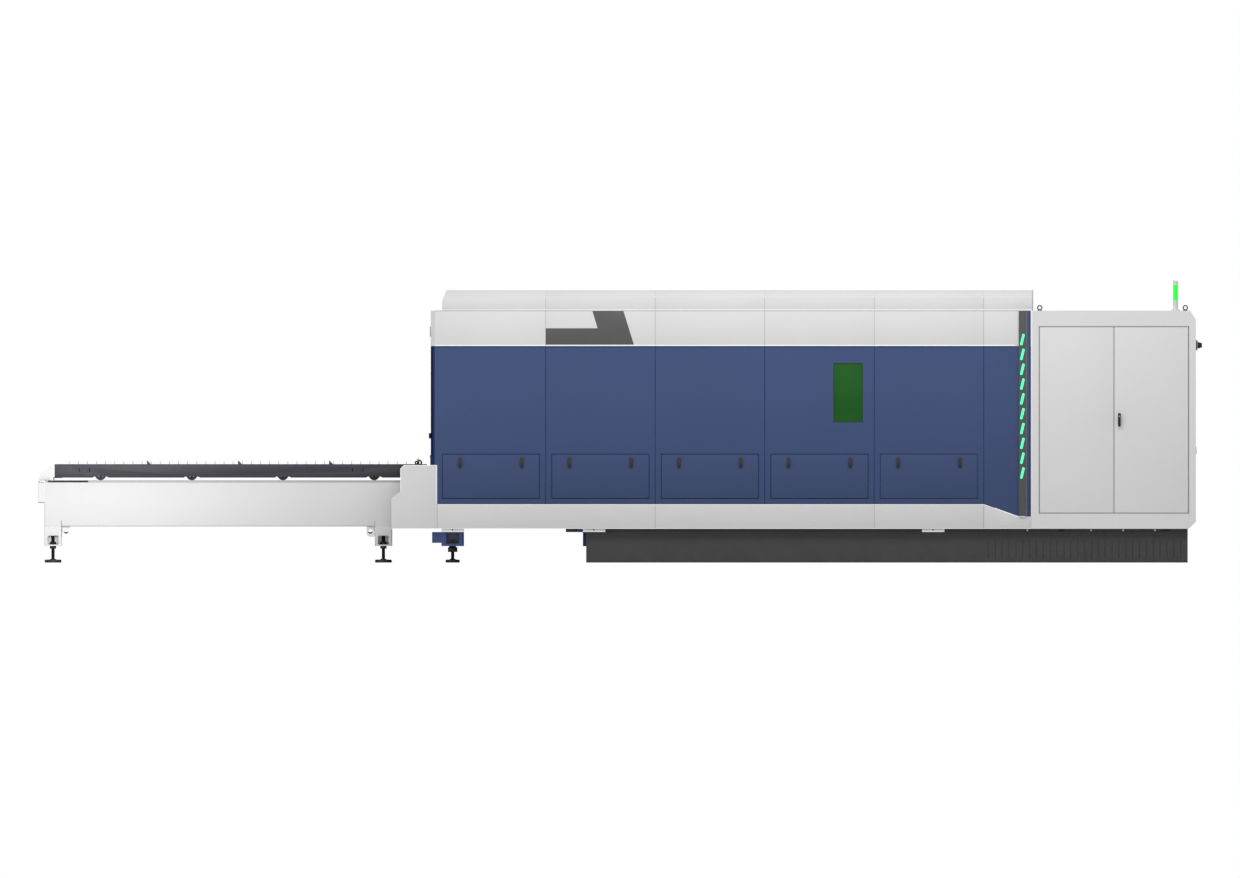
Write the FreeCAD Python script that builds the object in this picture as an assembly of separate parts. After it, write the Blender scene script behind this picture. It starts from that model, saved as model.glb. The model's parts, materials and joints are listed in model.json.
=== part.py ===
import FreeCAD, Part
import math
import os

V = FreeCAD.Vector
X, Y, Z = V(1, 0, 0), V(0, 1, 0), V(0, 0, 1)

# Fiber laser cutting machine with an exchange table, in millimetres.
# +X runs from the exchange table to the electrical cabinet, the operator stands at -Y, Z=0 is the floor.

# ---- enclosure ----
enclosure_left = -1570.0        # outer face of the wall with the loading port
enclosure_length = 4980.0       # port wall to electrical cabinet
enclosure_depth = 2700.0        # front to rear panel faces
plinth_height = 280.5
sill_height = 207.5             # white lower cover
blue_height = 1309.0            # blue panels above the sill
fascia_height = 294.6           # white band above the blue panels
sheet = 3.0                     # cover sheets
first_joint_inset = 44.0        # white and blue panels start this far left of their first joint
last_panel_width = 391.0
panel_count = 5                 # full panels before the last one
panel_gap = 3.0
corner_chamfer = 32.0
fascia_step = 6.0               # white band stands proud of the blue panels
frame_tube = 46.0               # square tube of the enclosure frame
fit = 0.5                       # seats that only have to clear
slot_end_steps = 3              # chords in each round slot end

# ---- roof ----
roof_wall_height = 108.0
roof_slope_height = 61.5
roof_slope_run = 150.0
roof_setback = 24.0
roof_left_inset = 93.0
roof_left_chamfer = 35.0
roof_right_overhang = 20.0

# ---- plinth ----
plinth_left = -281.0
plinth_split = 3000.0
plinth_share = 0.3158           # of the space between the panels and the bed
plinth_right_inset = 68.0
plinth_fold = 40.0
vent_pitch = 57.0
vent_slot_width = 6.0
vent_slot_height = 154.0
vent_slot_bottom = 34.0
vent_frame_width = 22.0

# ---- lower covers ----
cover_proud = 3.0
cover_left_reach = 327.0        # beyond the port wall, over the table beam
shoulder_left_reach = 253.0
shoulder_overlap = 53.0         # onto the blue panel
shoulder_top = 810.0
shoulder_chamfer = 30.0
shoulder_foot = 588.0           # from here the shoulder's left edge slopes down
wing_top = 536.0                # to the outer end of the wing

# ---- service flaps ----
flap_margin = 51.0              # from a panel joint to the flap beside it
flap_height = 367.0
flap_sill = 45.0                # blue strip between the sill and a flap
flap_gap = 3.5
flap_return = 18.0              # depth of the folded rim
hinge_inset = 9.0               # hinge axis behind the flap's face
hinge_rise = 6.0                # hinge axis above the flap's lower edge
hinge_pin_radius = 3.0
running_gap = 0.05
hinge_lug_size = 12.0

# ---- latches ----
latch_width = 30.0
latch_length = 87.0
latch_depth = 12.0
latch_side_inset = 146.0
latch_top_inset = 69.0
latch_shaft_radius = 7.0
latch_cam_length = 92.0
latch_cam_width = 16.0
latch_cam_depth = 4.0

# ---- window ----
window_right_inset = 94.0       # from the window panel's right joint
window_bottom = 676.0           # above the sill
window_width = 246.0
window_height = 493.0
pane_thickness = 6.0
pane_lap = 20.0                 # pane behind the panel, round the opening
window_panel_count = 3          # panels before the one with the window

# ---- last panel and light strip ----
strip_width = 60.0
strip_right_inset = 40.0
strip_depth = 12.0
slope_drop = 103.0              # the last panel reaches down over the sill
slope_run = 284.0
lens_count = 10
lens_pitch = 123.0
lens_height = 100.0
lens_width = 28.0
lens_lean = 17.0
lens_first_top = 191.0          # below the body's top edge
lens_proud = 1.5

# ---- loading port and its door ----
port_half_width = 920.0
port_bottom = 440.0
port_height = 430.0
door_sheet = 12.0
door_lap = 12.0
door_clearance = 0.5
door_rim = 35.0
door_guide_above = 60.0
guide_width = 30.0

# ---- machine bed ----
bed_inner_half = 940.0
bed_beam_width = 220.0
bed_beam_bottom = 284.0
bed_beam_top = 640.0
bed_end_gap = 60.0              # bed beams end short of the port wall
bed_right_gap = 300.0
bed_tie_height = 90.0
bed_tie_width = 160.0
foot_block_width = 186.0
foot_block_bottom = 137.0
foot_block_top = 254.0          # a spacer plate lies between it and the beam
stub_length = 78.0              # cross tube end beside the first foot block
stub_bottom = 163.5
foot_block_wall = 40.0
foot_block_floor = 20.0
bed_foot_inset = 181.0          # from the port wall
bed_middle_inset = 1355.0
bed_foot_right_inset = 810.0    # from the enclosure's right end
outrigger_height = 24.0
tray_depth = 40.0
tray_slope = 120.0
tray_left_gap = 100.0
tray_right_gap = 700.0

# ---- linear rails ----
rail_width = 28.0
rail_height = 30.0
rack_width = 20.0
rack_height = 24.0
rail_spacing = 2100.0           # between the two rails of the gantry
rail_end_gap = 60.0

# ---- gantry ----
gantry_rest_inset = 750.0       # beam centre from the enclosure's right end
gantry_beam_width = 240.0
gantry_beam_height = 300.0
gantry_beam_bottom = 960.0
gantry_edge = 40.0               # sloped upper corners of the beam
gantry_end_length = 520.0
gantry_end_width = 150.0
gantry_end_height = 90.0
gantry_leg_width = 60.0
block_gap = 0.4
block_lip = 12.0                # sides of the blocks that grip the rail
carriage_width = 260.0          # along Y
carriage_thickness = 30.0
cross_rail_size = 22.0
head_body_width = 110.0
head_body_height = 330.0
head_tip_height = 985.0
nozzle_radius = 3.5
nozzle_tip_radius = 7.0

# ---- exchange table ----
table_left = -4777.0            # end of the side beams
beam_width = 120.0
beam_bottom = 300.5
beam_top = 684.0
beam_strip = 20.0               # grey strip along the beam's top
table_gap = 32.0                # table beam ends short of the port wall
nose_length = 53.0
nose_top = 681.0
nose_bottom = 495.0
nose_radius = 30.0
guard_radius = 95.0
guard_width = 40.0
guard_inset = 6.0
leg_width = 142.0
leg_depth = 120.0
leg_bottom = 138.0
leg_floor = 12.0
leg_wall = 8.0
leg_window_width = 90.0
leg_window_height = 74.0
leg_window_corner = 12.0
leg_places = (-4706.0, -1963.5)
lug_reach = 69.0
lug_height = 87.0
lug_thickness = 16.0
lug_hole_radius = 18.0
lug_hole_drop = 42.0
tie_height = 110.0
tie_width = 80.0
tie_places = (-4706.0, -3335.0, -1963.5)

# ---- levelling feet ----
pad_radius = 70.0
bed_pad_radius = 59.0
collar_radius = 39.5
collar_height = 48.0
pad_height = 26.0
stem_radius = 14.5
stem_hole_gap = 1.0
nut_width = 53.0
nut_height = 22.0
stem_above = 56.0               # above the upper nut
bed_stem_above = 20.0

# ---- pallet rails ----
ledge_thickness = 12.0
ledge_apron = 60.0              # upright leg of the ledge angle
ledge_inner = 838.0
upper_rail_top = 683.0
level_drop = 205.0
ledge_table_gap = 30.0
ledge_machine_gap = 60.0
ledge_machine_right_gap = 1060.0

# ---- pallets ----
pallet_left = -4693.0
pallet_length = 3090.0
pallet_side_outer = 888.0
pallet_side_thickness = 8.0
pallet_bottom = 705.0
pallet_top = 817.5
comb_height = 12.0
comb_width = 36.0
comb_top = 756.0
cross_bar_width = 40.0
spacer_gap = 24.0               # from a wheel to the spacers beside it
slat_count = 38
slat_pitch = 75.7
slat_thickness = 4.0
slat_top = 842.5
slat_first = 120.0              # from the pallet's left end
hook_slots_left = (206.0, 291.0)
hook_slots_right = (529.0, 616.0)
hook_slot_width = 8.0
hook_slot_top = 33.0            # below the side plate's top edge
hook_slot_height = 33.0
slat_end_gap = 1.0
slat_teeth = 3
slat_tooth_depth = 24.0
wheel_radius = 46.5
wheel_width = 26.0
wheel_gap = 4.0
roll_gap = 0.3                  # wheel to rail
axle_radius = 12.5
wheel_first = 382.0             # from the pallet's left end
wheel_pitch = 757.0
wheel_count = 4
notch_width = 134.0
notch_height = 8.0
fork_size = 44.0
fork_thickness = 14.0
fork_drop = 16.0
pallet_travel = 3800.0
stop_length = 33.0
stop_height = 31.0
stop_first = 766.0
stop_pitch = 756.0
dome_radius = 26.0
dome_inset = 70.0
dome_height = 96.0

# ---- pallet drive ----
shaft_radius = 20.0
sprocket_radius = 62.0
sprocket_width = 16.0
sprocket_teeth = 14
shaft_place = 40.5              # right of the table beam's end
shaft_height = 585.0
chain_thickness = 14.0
chain_width = 12.0
chain_half = 905.0
chain_end_steps = 6             # chords in each round end of the chain loop
motor_radius = 34.0
motor_length = 230.0
gearbox_width = 68.0
gearbox_length = 160.0
gearbox_above = 50.0            # above the shaft

# ---- electrical cabinet ----
cabinet_length = 1370.0
cabinet_sheet = 4.0
cabinet_top_chamfer_x = 47.0
cabinet_top_chamfer_z = 76.0
cabinet_low_chamfer_x = 60.0
cabinet_low_chamfer_z = 59.0
doorway_left = 67.0
doorway_right = 58.0
doorway_bottom = 127.0
doorway_top = 130.0
leaf_gap = 6.0
leaf_return = 20.0
handle_width = 22.0
handle_length = 115.0
handle_depth = 30.0
handle_inset = 45.0
handle_cam_reach = 20.0         # past the gap between the leaves
handle_height = 1214.0
plate_setback = 420.0
plate_margin = 90.0
plate_thickness = 4.0
drive_count = 5
drive_width = 120.0
drive_height = 360.0
drive_depth = 190.0
drive_top_gap = 120.0           # below the mounting plate's top
breaker_rise = 420.0            # above the plate's lower edge
breaker_height = 100.0
breaker_depth = 70.0
bracket_size = 60.0
bracket_height = 200.0
bracket_inset = 40.0
source_left_inset = 210.0
source_setback = 300.0          # behind the mounting plate
pull_width = 14.0
pull_depth = 34.0
pull_height = 180.0
pull_inset = 40.0
source_width = 640.0
source_height = 420.0
source_depth = 780.0
switch_height = 1804.0
switch_base = 90.0
switch_base_depth = 14.0
switch_knob_radius = 27.0
switch_knob_length = 36.0
switch_place = 320.0            # behind the cabinet's front face

# ---- on the cabinet's roof ----
eye_radius = 22.0
eye_hole_radius = 14.0
eye_thickness = 16.0
eye_collar_radius = 20.0
eye_collar_height = 6.0
eye_insets = (74.0, 88.0)
eye_depth_inset = 120.0
tower_inset = 169.0             # from the cabinet's right side
tower_depth_inset = 180.0
tower_radius = 21.5
tower_flange_radius = 36.5
tower_flange_height = 12.0
tower_stem_height = 72.0
tower_lens_height = 133.0
tower_cap_height = 28.0
tower_cap_rise = 8.0

# ---- derived places ----
half_depth = enclosure_depth / 2
enclosure_right = enclosure_left + enclosure_length
sill_top = plinth_height + sill_height
blue_top = sill_top + blue_height
body_top = blue_top + fascia_height
front_y = -half_depth
first_joint = enclosure_left + first_joint_inset
panel_pitch = (enclosure_length - first_joint_inset - last_panel_width) / panel_count
joints_x = [first_joint + panel_pitch * k for k in range(panel_count + 1)]
flap_width = panel_pitch - 2 * flap_margin
bed_outer_half = bed_inner_half + bed_beam_width
plinth_setback = (half_depth - bed_outer_half) * plinth_share
bed_foot_places = (bed_foot_inset, enclosure_length - bed_foot_right_inset)
foot_block_places = (bed_foot_inset, bed_middle_inset, enclosure_length - bed_foot_right_inset)
cabinet_right = enclosure_right + cabinet_length
level_z = {"upper": 0.0, "lower": -level_drop}
level_x = {"upper": 0.0, "lower": pallet_travel}


def box(x0, x1, y0, y1, z0, z1):
    return Part.makeBox(x1 - x0, y1 - y0, z1 - z0, V(x0, y0, z0))


def polygon(points):
    return Part.makePolygon(points + [points[0]])


def prism_y(outline, y0, y1):
    """Outline of (x, z) points, drawn out from y0 to y1."""
    wire = polygon([V(x, y0, z) for x, z in outline])
    return Part.Face(wire).extrude(V(0, y1 - y0, 0))


def prism_x(outline, x0, x1):
    """Outline of (y, z) points, drawn out from x0 to x1."""
    wire = polygon([V(x0, y, z) for y, z in outline])
    return Part.Face(wire).extrude(V(x1 - x0, 0, 0))


def prism_z(outline, z0, z1):
    """Outline of (x, y) points, drawn out from z0 to z1."""
    wire = polygon([V(x, y, z0) for x, y in outline])
    return Part.Face(wire).extrude(V(0, 0, z1 - z0))


def rod(start, direction, radius, length):
    return Part.makeCylinder(radius, length, start, direction)


def many_sided(start, direction, radius, length, sides):
    """Regular prism whose corners lie on the radius: the form of the small rounds that repeat."""
    turn = FreeCAD.Rotation(Z, direction)
    turns = [2 * math.pi * k / sides for k in range(sides)]
    points = [start + turn.multVec(V(radius * math.cos(a), radius * math.sin(a), 0)) for a in turns]
    return Part.Face(polygon(points)).extrude(direction * length)


def turned(x, y, sections, sides):
    """Upright spindle through (radius, z) sections, with flat-sided turns."""
    turns = [2 * math.pi * k / sides for k in range(sides)]
    rings = [[V(x + r * math.cos(a), y + r * math.sin(a), z) for a in turns] for r, z in sections]
    faces = [Part.Face(polygon(rings[0])), Part.Face(polygon(rings[-1]))]
    for low, high in zip(rings, rings[1:]):
        for k in range(sides):
            faces.append(Part.Face(polygon([low[k - 1], low[k], high[k], high[k - 1]])))
    solid = Part.Solid(Part.Shell(faces))
    if solid.Volume < 0:
        solid.reverse()
    return solid


def slot_y(x, z, width, height, y0, y1, lean=0.0):
    """Round-ended upright slot centred on (x, z); lean shifts its top sideways."""
    r = width / 2
    half = height / 2 - r
    tilt = math.atan2(lean, 2 * half)
    outline = []
    for end, start in ((1, 0.0), (-1, math.pi)):
        for k in range(slot_end_steps + 1):
            a = start + math.pi * k / slot_end_steps - tilt
            outline.append((x + end * lean / 2 + r * math.cos(a), z + end * half + r * math.sin(a)))
    return prism_y(outline, y0, y1)


def square_hole(x, z, half, y0, y1):
    return box(x - half, x + half, y0, y1, z - half, z + half)


def hexagon(x, y, width, z0, z1):
    r = width / math.sqrt(3)
    turns = [math.radians(60 * k) for k in range(6)]
    return prism_z([(x + r * math.cos(a), y + r * math.sin(a)) for a in turns], z0, z1)


def mirrored(shape):
    return shape.mirror(V(0, 0, 0), Y)


def both_sides(solids):
    return solids + [mirrored(s) for s in solids]


def moved(shape, dx=0.0, dy=0.0, dz=0.0):
    copy = shape.copy()
    copy.translate(V(dx, dy, dz))
    return copy


def save(name, solids):
    flat = [s for shape in solids for s in shape.Solids]
    shape = flat[0] if len(flat) == 1 else Part.makeCompound(flat)
    shape.exportStep(f"parts/{name}.step")


# ---------------------------------------------------------------- enclosure

def frame_tubes():
    """Posts behind each panel joint, and rails along the bottom, middle and top."""
    y0, y1 = front_y + sheet, front_y + sheet + frame_tube
    half = frame_tube / 2
    left = enclosure_left + corner_chamfer
    posts_x = [left + half] + joints_x[1:] + [enclosure_right - half]
    low, high = plinth_height, body_top - sheet
    tubes = [box(x - half, x + half, y0, y1, low + frame_tube, high - frame_tube) for x in posts_x]
    tubes.append(box(left, enclosure_right, y0, y1, low, low + frame_tube))
    tubes.append(box(left, enclosure_right, y0, y1, high - frame_tube, high))
    ties = [box(x - half, x + half, y1, -y1, high - frame_tube, high) for x in posts_x]
    return both_sides(tubes) + ties


def flap_opening(k):
    """Clear opening for flap k: left, right, bottom, top."""
    middle = joints_x[k] + panel_pitch / 2
    left = middle - flap_width / 2 - flap_gap
    bottom = sill_top + flap_sill - flap_gap
    return left, left + flap_width + 2 * flap_gap, bottom, bottom + flap_height + 2 * flap_gap


def window_opening():
    left = joints_x[window_panel_count + 1] - window_right_inset - window_width
    bottom = sill_top + window_bottom
    return left, left + window_width, bottom, bottom + window_height


def last_panel_outline():
    """The last panel's lower edge slopes down over the sill to the light strip."""
    left, right = joints_x[panel_count] + panel_gap / 2, enclosure_right
    low = sill_top - slope_drop
    return [(left, sill_top), (left + slope_run, low), (right, low), (right, blue_top), (left, blue_top)]


def panel_edges(k):
    left = joints_x[k] + panel_gap / 2 if k else enclosure_left + corner_chamfer
    right = joints_x[k + 1] - panel_gap / 2 if k < panel_count else enclosure_right
    return left, right


def hinge_axis(k):
    """Ends and height of flap k's hinge line: left x, right x, y, z."""
    left, right, bottom, _ = flap_opening(k)
    y = front_y + hinge_inset
    return left + flap_gap, right - flap_gap, y, bottom + flap_gap + hinge_rise


def hinge_lugs(k):
    """Two lugs on the panel's back, each with a pin that enters the flap's rim."""
    left, right, y, z = hinge_axis(k)
    half = hinge_lug_size / 2
    solids = []
    for x, inward in ((left - flap_gap, 1), (right + flap_gap, -1)):
        outer = x - inward * hinge_lug_size
        solids.append(box(min(x, outer), max(x, outer), front_y + sheet, y + half, z - half, z + half))
        reach = flap_gap + sheet + hinge_pin_radius
        solids.append(many_sided(V(x, y, z), V(inward, 0, 0), hinge_pin_radius, reach, 6))
    return solids


def panel_sheets():
    y0, y1 = front_y, front_y + sheet
    sheets = []
    for k in range(panel_count):
        left, right = panel_edges(k)
        sheets.append(box(left, right, y0, y1, sill_top, blue_top))
    sheets.append(prism_y(last_panel_outline(), y0, y1))
    return sheets


def front_panels():
    y0, y1 = front_y, front_y + sheet
    sheets = panel_sheets()
    for k in range(panel_count):
        left, right, bottom, top = flap_opening(k)
        sheets[k] = sheets[k].cut(box(left, right, y0, y1, bottom, top))
    left, right, bottom, top = window_opening()
    sheets[window_panel_count] = sheets[window_panel_count].cut(box(left, right, y0, y1, bottom, top))
    lugs = [solid for k in range(panel_count) for solid in hinge_lugs(k)]
    return sheets + lugs


def fascia_panels():
    """White band: upper and lower edges folded back to the frame behind it."""
    outer, inner = front_y - fascia_step, front_y + sheet
    low, high = blue_top, body_top
    section = [
        (inner, low), (outer, low), (outer, high), (inner + frame_tube, high),
        (inner + frame_tube, high - sheet), (outer + sheet, high - sheet),
        (outer + sheet, low + sheet), (inner, low + sheet),
    ]
    solids = []
    for k in range(panel_count + 1):
        left, right = panel_edges(k)
        solids.append(prism_x(section, left, right))
    return both_sides(solids)


def window_pane():
    left, right, bottom, top = window_opening()
    lap = pane_lap
    y = front_y + sheet
    return [box(left - lap, right + lap, y, y + pane_thickness, bottom - lap, top + lap)]


def strip_edges():
    right = enclosure_right - strip_right_inset
    return right - strip_width, right


def lens_shapes(y0, y1, grow=0.0):
    left, right = strip_edges()
    middle = (left + right) / 2
    solids = []
    for k in range(lens_count):
        z = body_top - lens_first_top - lens_height / 2 - lens_pitch * k
        solids.append(slot_y(middle, z, lens_width + 2 * grow, lens_height + 2 * grow, y0, y1, lens_lean))
    return solids


def light_bar():
    """Channel section with a slot for each lens; it covers the fascia and the last panel."""
    left, right = strip_edges()
    outer = front_y - fascia_step - strip_depth
    low = sill_top - slope_drop
    bar = box(left, right, outer, outer + sheet, low, body_top)
    for lens in lens_shapes(outer, outer + sheet, fit):
        bar = bar.cut(lens)
    upper = [box(x, x + sheet, outer + sheet, front_y - fascia_step, blue_top, body_top)
             for x in (left, right - sheet)]
    lower = [box(x, x + sheet, outer + sheet, front_y, low, blue_top) for x in (left, right - sheet)]
    body = bar.multiFuse(upper + lower).removeSplitter()
    return [body]


def light_lenses():
    outer = front_y - fascia_step - strip_depth
    left, right = strip_edges()
    back = box(left + sheet, right - sheet, outer + sheet, outer + 2 * sheet,
               sill_top, body_top - sheet)
    return lens_shapes(outer - lens_proud, outer + sheet) + [back]


def roof():
    """Upright wall, sloped edge and flat top as one folded sheet, closed by two end sheets."""
    y0 = front_y + roof_setback
    z0, z1 = body_top, body_top + roof_wall_height
    z2 = z1 + roof_slope_height
    outer = [(y0, z0), (y0, z1), (y0 + roof_slope_run, z2)]
    slope = math.atan2(roof_slope_height, roof_slope_run)
    inner = [
        (y0 + sheet, z0),
        (y0 + sheet, z1 - sheet * math.tan(slope / 2)),
        (y0 + roof_slope_run + sheet * math.tan(slope / 2), z2 - sheet),
    ]
    flip = [(-y, z) for y, z in reversed(outer)]
    flip_inner = [(-y, z) for y, z in reversed(inner)]
    left = enclosure_left + roof_left_inset
    right = enclosure_right + roof_right_overhang
    skin = prism_x(outer + flip + list(reversed(flip_inner)) + list(reversed(inner)), left, right)
    cut_low = z2 - 1.5 * roof_left_chamfer
    wedge = prism_y([(left - fit, cut_low), (left + roof_left_chamfer, z2 + fit), (left - fit, z2 + fit)],
                    y0 - fit, -y0 + fit)
    skin = skin.cut(wedge)
    ends = []
    for x0 in (left + roof_left_chamfer, right - 2 * sheet):
        ends.append(prism_x(inner + flip_inner, x0, x0 + sheet))
    return [skin] + ends


def corner_strips():
    """Chamfered left corners from the sill to the top, front and rear."""
    x0, x1 = enclosure_left, enclosure_left + corner_chamfer
    y0 = front_y
    outline = [(x1, y0), (x1, y0 + sheet), (x0 + sheet, y0 + corner_chamfer), (x0, y0 + corner_chamfer)]
    return both_sides([prism_z(outline, sill_top, body_top)])


def port_wall():
    """End wall with the loading port, its chamfered corners and the door's guides."""
    x0, x1 = enclosure_left, enclosure_left + sheet
    edge = front_y + corner_chamfer
    top = port_bottom + port_height
    wall = box(x0, x1, edge, -edge, plinth_height, body_top)
    wall = wall.cut(box(x0, x1, -port_half_width, port_half_width, port_bottom, top))
    inner = port_half_width + door_lap + door_clearance
    depth = door_sheet + 2 * door_clearance
    guide_top = top + port_height + door_guide_above
    spacer = box(x1, x1 + depth, inner, inner + guide_width / 2, port_bottom - door_lap, guide_top)
    lip = box(x1 + depth, x1 + depth + sheet, inner - guide_width / 3, inner + guide_width / 2,
              port_bottom - door_lap, guide_top)
    return [wall] + corner_strips() + both_sides([spacer, lip])


def port_door():
    """Loading door, drawn at rest in its raised place, with a folded stiffening rim on its inner side."""
    x0 = enclosure_left + sheet + door_clearance
    half = port_half_width + door_lap
    low = port_bottom + port_height + door_clearance
    panel = box(x0, x0 + door_sheet, -half, half, low, low + port_height)
    pocket = box(x0 + sheet, x0 + door_sheet, -half + door_rim, half - door_rim,
                 low + door_rim, low + port_height - door_rim)
    return [panel.cut(pocket)]


def lower_cover():
    """White sill with its raised shoulder: one folded cover, open at the back."""
    left = enclosure_left - cover_left_reach
    shoulder = enclosure_left - shoulder_left_reach
    right = enclosure_left + shoulder_overlap
    end = joints_x[panel_count] + panel_gap / 2
    low = sill_top - slope_drop
    top = sill_top - panel_gap
    outline = [
        (left, plinth_height), (enclosure_right, plinth_height), (enclosure_right, low - panel_gap),
        (end + slope_run, low - panel_gap), (end, top), (right, top),
        (right, shoulder_top), (shoulder + shoulder_chamfer, shoulder_top),
        (shoulder, shoulder_top - shoulder_chamfer), (shoulder, shoulder_foot), (left, wing_top),
    ]
    y0 = front_y - cover_proud
    face = prism_y(outline, y0, y0 + sheet)
    back = -bed_inner_half - beam_width
    rim = [
        (left, plinth_height), (left + sheet, plinth_height),
        (left + sheet, wing_top - sheet / 2), (shoulder + sheet, shoulder_foot - sheet / 2),
        (shoulder + sheet, shoulder_top - shoulder_chamfer - sheet * 0.4),
        (shoulder + shoulder_chamfer + sheet * 0.4, shoulder_top - sheet),
        (enclosure_left - panel_gap, shoulder_top - sheet), (enclosure_left - panel_gap, shoulder_top),
        (shoulder + shoulder_chamfer, shoulder_top), (shoulder, shoulder_top - shoulder_chamfer),
        (shoulder, shoulder_foot), (left, wing_top),
    ]
    returned = prism_y(rim, y0 + sheet, back)
    return [face.fuse(returned).removeSplitter()]


def skirt_sheets(left, right):
    """Flat skirt sheet and the flange strip along its top, folded out under the enclosure."""
    y0 = front_y + plinth_setback
    skirt = box(left, right, y0, y0 + sheet, 0, plinth_height)
    flange = box(left, right, front_y + sheet, y0, plinth_height - sheet, plinth_height)
    return skirt, flange


def plinth():
    """Plain skirts along both sides, up to the louvred part, with a folded left edge."""
    y0 = front_y + plinth_setback + sheet
    fold = box(plinth_left, plinth_left + sheet, y0, y0 + plinth_fold, 0, plinth_height)
    return both_sides([*skirt_sheets(plinth_left, plinth_split), fold])


def plinth_vents():
    """Louvred base under the cabinet: slots at one pitch along the front, plain at the rear and end."""
    right = cabinet_right - plinth_right_inset
    y0 = front_y + plinth_setback
    skirt, flange = skirt_sheets(plinth_split, right)
    count = int((right - plinth_split - vent_frame_width) // vent_pitch)
    first = (plinth_split + right - vent_pitch * (count - 1)) / 2
    slots = []
    for k in range(count):
        x = first + vent_pitch * k
        slots.append(box(x - vent_slot_width / 2, x + vent_slot_width / 2, y0, y0 + sheet,
                         vent_slot_bottom, vent_slot_bottom + vent_slot_height))
    grille = skirt.cut(Part.makeCompound(slots))
    end = box(right - sheet, right, y0 + sheet, -y0 - sheet, 0, plinth_height)
    return [grille, flange, mirrored(skirt), mirrored(flange), end]


# ---------------------------------------------------------------- machine bed

def bed_span():
    return enclosure_left + bed_end_gap, enclosure_right - bed_right_gap


def foot_places():
    """Centre of each levelling foot: x, y, and the underside that it carries."""
    bed_y = bed_outer_half - bed_beam_width / 2
    table_y = bed_inner_half + beam_width / 2
    bed = [(enclosure_left + x, s * bed_y, foot_block_bottom) for x in bed_foot_places for s in (-1, 1)]
    table = [(x, s * table_y, leg_bottom) for x in leg_places for s in (-1, 1)]
    return bed, table


def bed_frame():
    left, right = bed_span()
    y0, y1 = bed_inner_half, bed_outer_half
    beam = box(left, right, y0, y1, bed_beam_bottom, bed_beam_top)
    blocks = []
    half = foot_block_width / 2
    hole = stem_radius + stem_hole_gap
    middle_y = (y0 + y1) / 2
    tube_y = half_depth - sheet - frame_tube
    for place in foot_block_places:
        x = enclosure_left + place
        block = box(x - half, x + half, y0, y1, foot_block_bottom, foot_block_top)
        block = block.cut(box(x - half + foot_block_wall, x + half - foot_block_wall,
                              y0 + foot_block_wall, y1,
                              foot_block_bottom + foot_block_floor, foot_block_top - foot_block_floor / 2))
        block = block.cut(box(x - hole, x + hole, middle_y - hole, middle_y + hole,
                              foot_block_bottom, foot_block_bottom + foot_block_floor))
        blocks.append(block)
        blocks.append(box(x - half, x + half, y0, y1, foot_block_top, bed_beam_bottom))
        blocks.append(box(x - half, x + half, y1, tube_y,
                          bed_beam_bottom, bed_beam_bottom + outrigger_height))
    stub_x = enclosure_left + bed_foot_inset - half
    blocks.append(box(stub_x - stub_length, stub_x, y0, y1, stub_bottom, foot_block_top))
    ties = []
    for place in foot_block_places:
        x = enclosure_left + place
        ties.append(box(x - bed_tie_width / 2, x + bed_tie_width / 2, -y0, y0,
                        bed_beam_bottom, bed_beam_bottom + bed_tie_height))
    return both_sides([beam] + blocks) + ties


def levelling_foot(x, y, underside, floor, radius, above):
    """Pad on the ground, threaded stem, and a jam nut on each side of the carried plate."""
    top = underside + floor + nut_height + above
    pad = turned(x, y, [(radius, 0), (radius, pad_height * 0.8), (radius * 0.9, pad_height)], 10)
    stem = many_sided(V(x, y, pad_height), Z, stem_radius, top - pad_height, 6)
    lower = hexagon(x, y, nut_width, underside - nut_height, underside)
    upper = hexagon(x, y, nut_width, underside + floor, underside + floor + nut_height)
    return pad, stem.multiFuse([lower, upper])


def collared(foot, x, y, underside):
    """The bed's feet have a stepped collar in the place of the lower nut."""
    pad, stem = foot
    low = underside - collar_height
    sections = [(collar_radius, low), (collar_radius, low + collar_height * 0.6),
                (collar_radius * 0.7, underside)]
    return pad, stem.fuse(turned(x, y, sections, 8))


def levelling_feet():
    bed, table = foot_places()
    pieces = []
    for x, y, z in bed:
        pieces += collared(levelling_foot(x, y, z, foot_block_floor, bed_pad_radius, bed_stem_above), x, y, z)
    for x, y, z in table:
        pieces += levelling_foot(x, y, z, leg_floor, pad_radius, stem_above)
    return pieces


def gantry_rails():
    left, right = bed_span()
    x0, x1 = left + rail_end_gap, right - rail_end_gap
    middle = rail_spacing / 2
    z = bed_beam_top
    waist = rail_width * 0.2
    section = [
        (middle - rail_width / 2, z), (middle + rail_width / 2, z),
        (middle + rail_width / 2 - waist, z + rail_height * 0.45),
        (middle + rail_width / 2, z + rail_height * 0.75), (middle + rail_width / 2, z + rail_height),
        (middle - rail_width / 2, z + rail_height), (middle - rail_width / 2, z + rail_height * 0.75),
        (middle - rail_width / 2 + waist, z + rail_height * 0.45),
    ]
    rail = prism_x(section, x0, x1)
    edge = bed_outer_half
    rack = box(x0, x1, edge, edge + rack_width, z - rack_height, z)
    return both_sides([rail, rack])


def scrap_tray():
    """Sheet tray with sloping sides, resting on the bed's ties under the cutting area."""
    left, right = bed_span()
    y0 = bed_inner_half
    z0 = bed_beam_bottom + bed_tie_height
    z1 = z0 + tray_depth
    rise = sheet * 1.5
    outer = [(-y0, z1), (-y0 + tray_slope, z0), (y0 - tray_slope, z0), (y0, z1)]
    inner = [(y0 - rise, z1), (y0 - tray_slope - rise, z0 + sheet), (-y0 + tray_slope + rise, z0 + sheet),
             (-y0 + rise, z1)]
    return [prism_x(outer + inner, left + tray_left_gap, right - tray_right_gap)]


# ---------------------------------------------------------------- gantry

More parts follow.
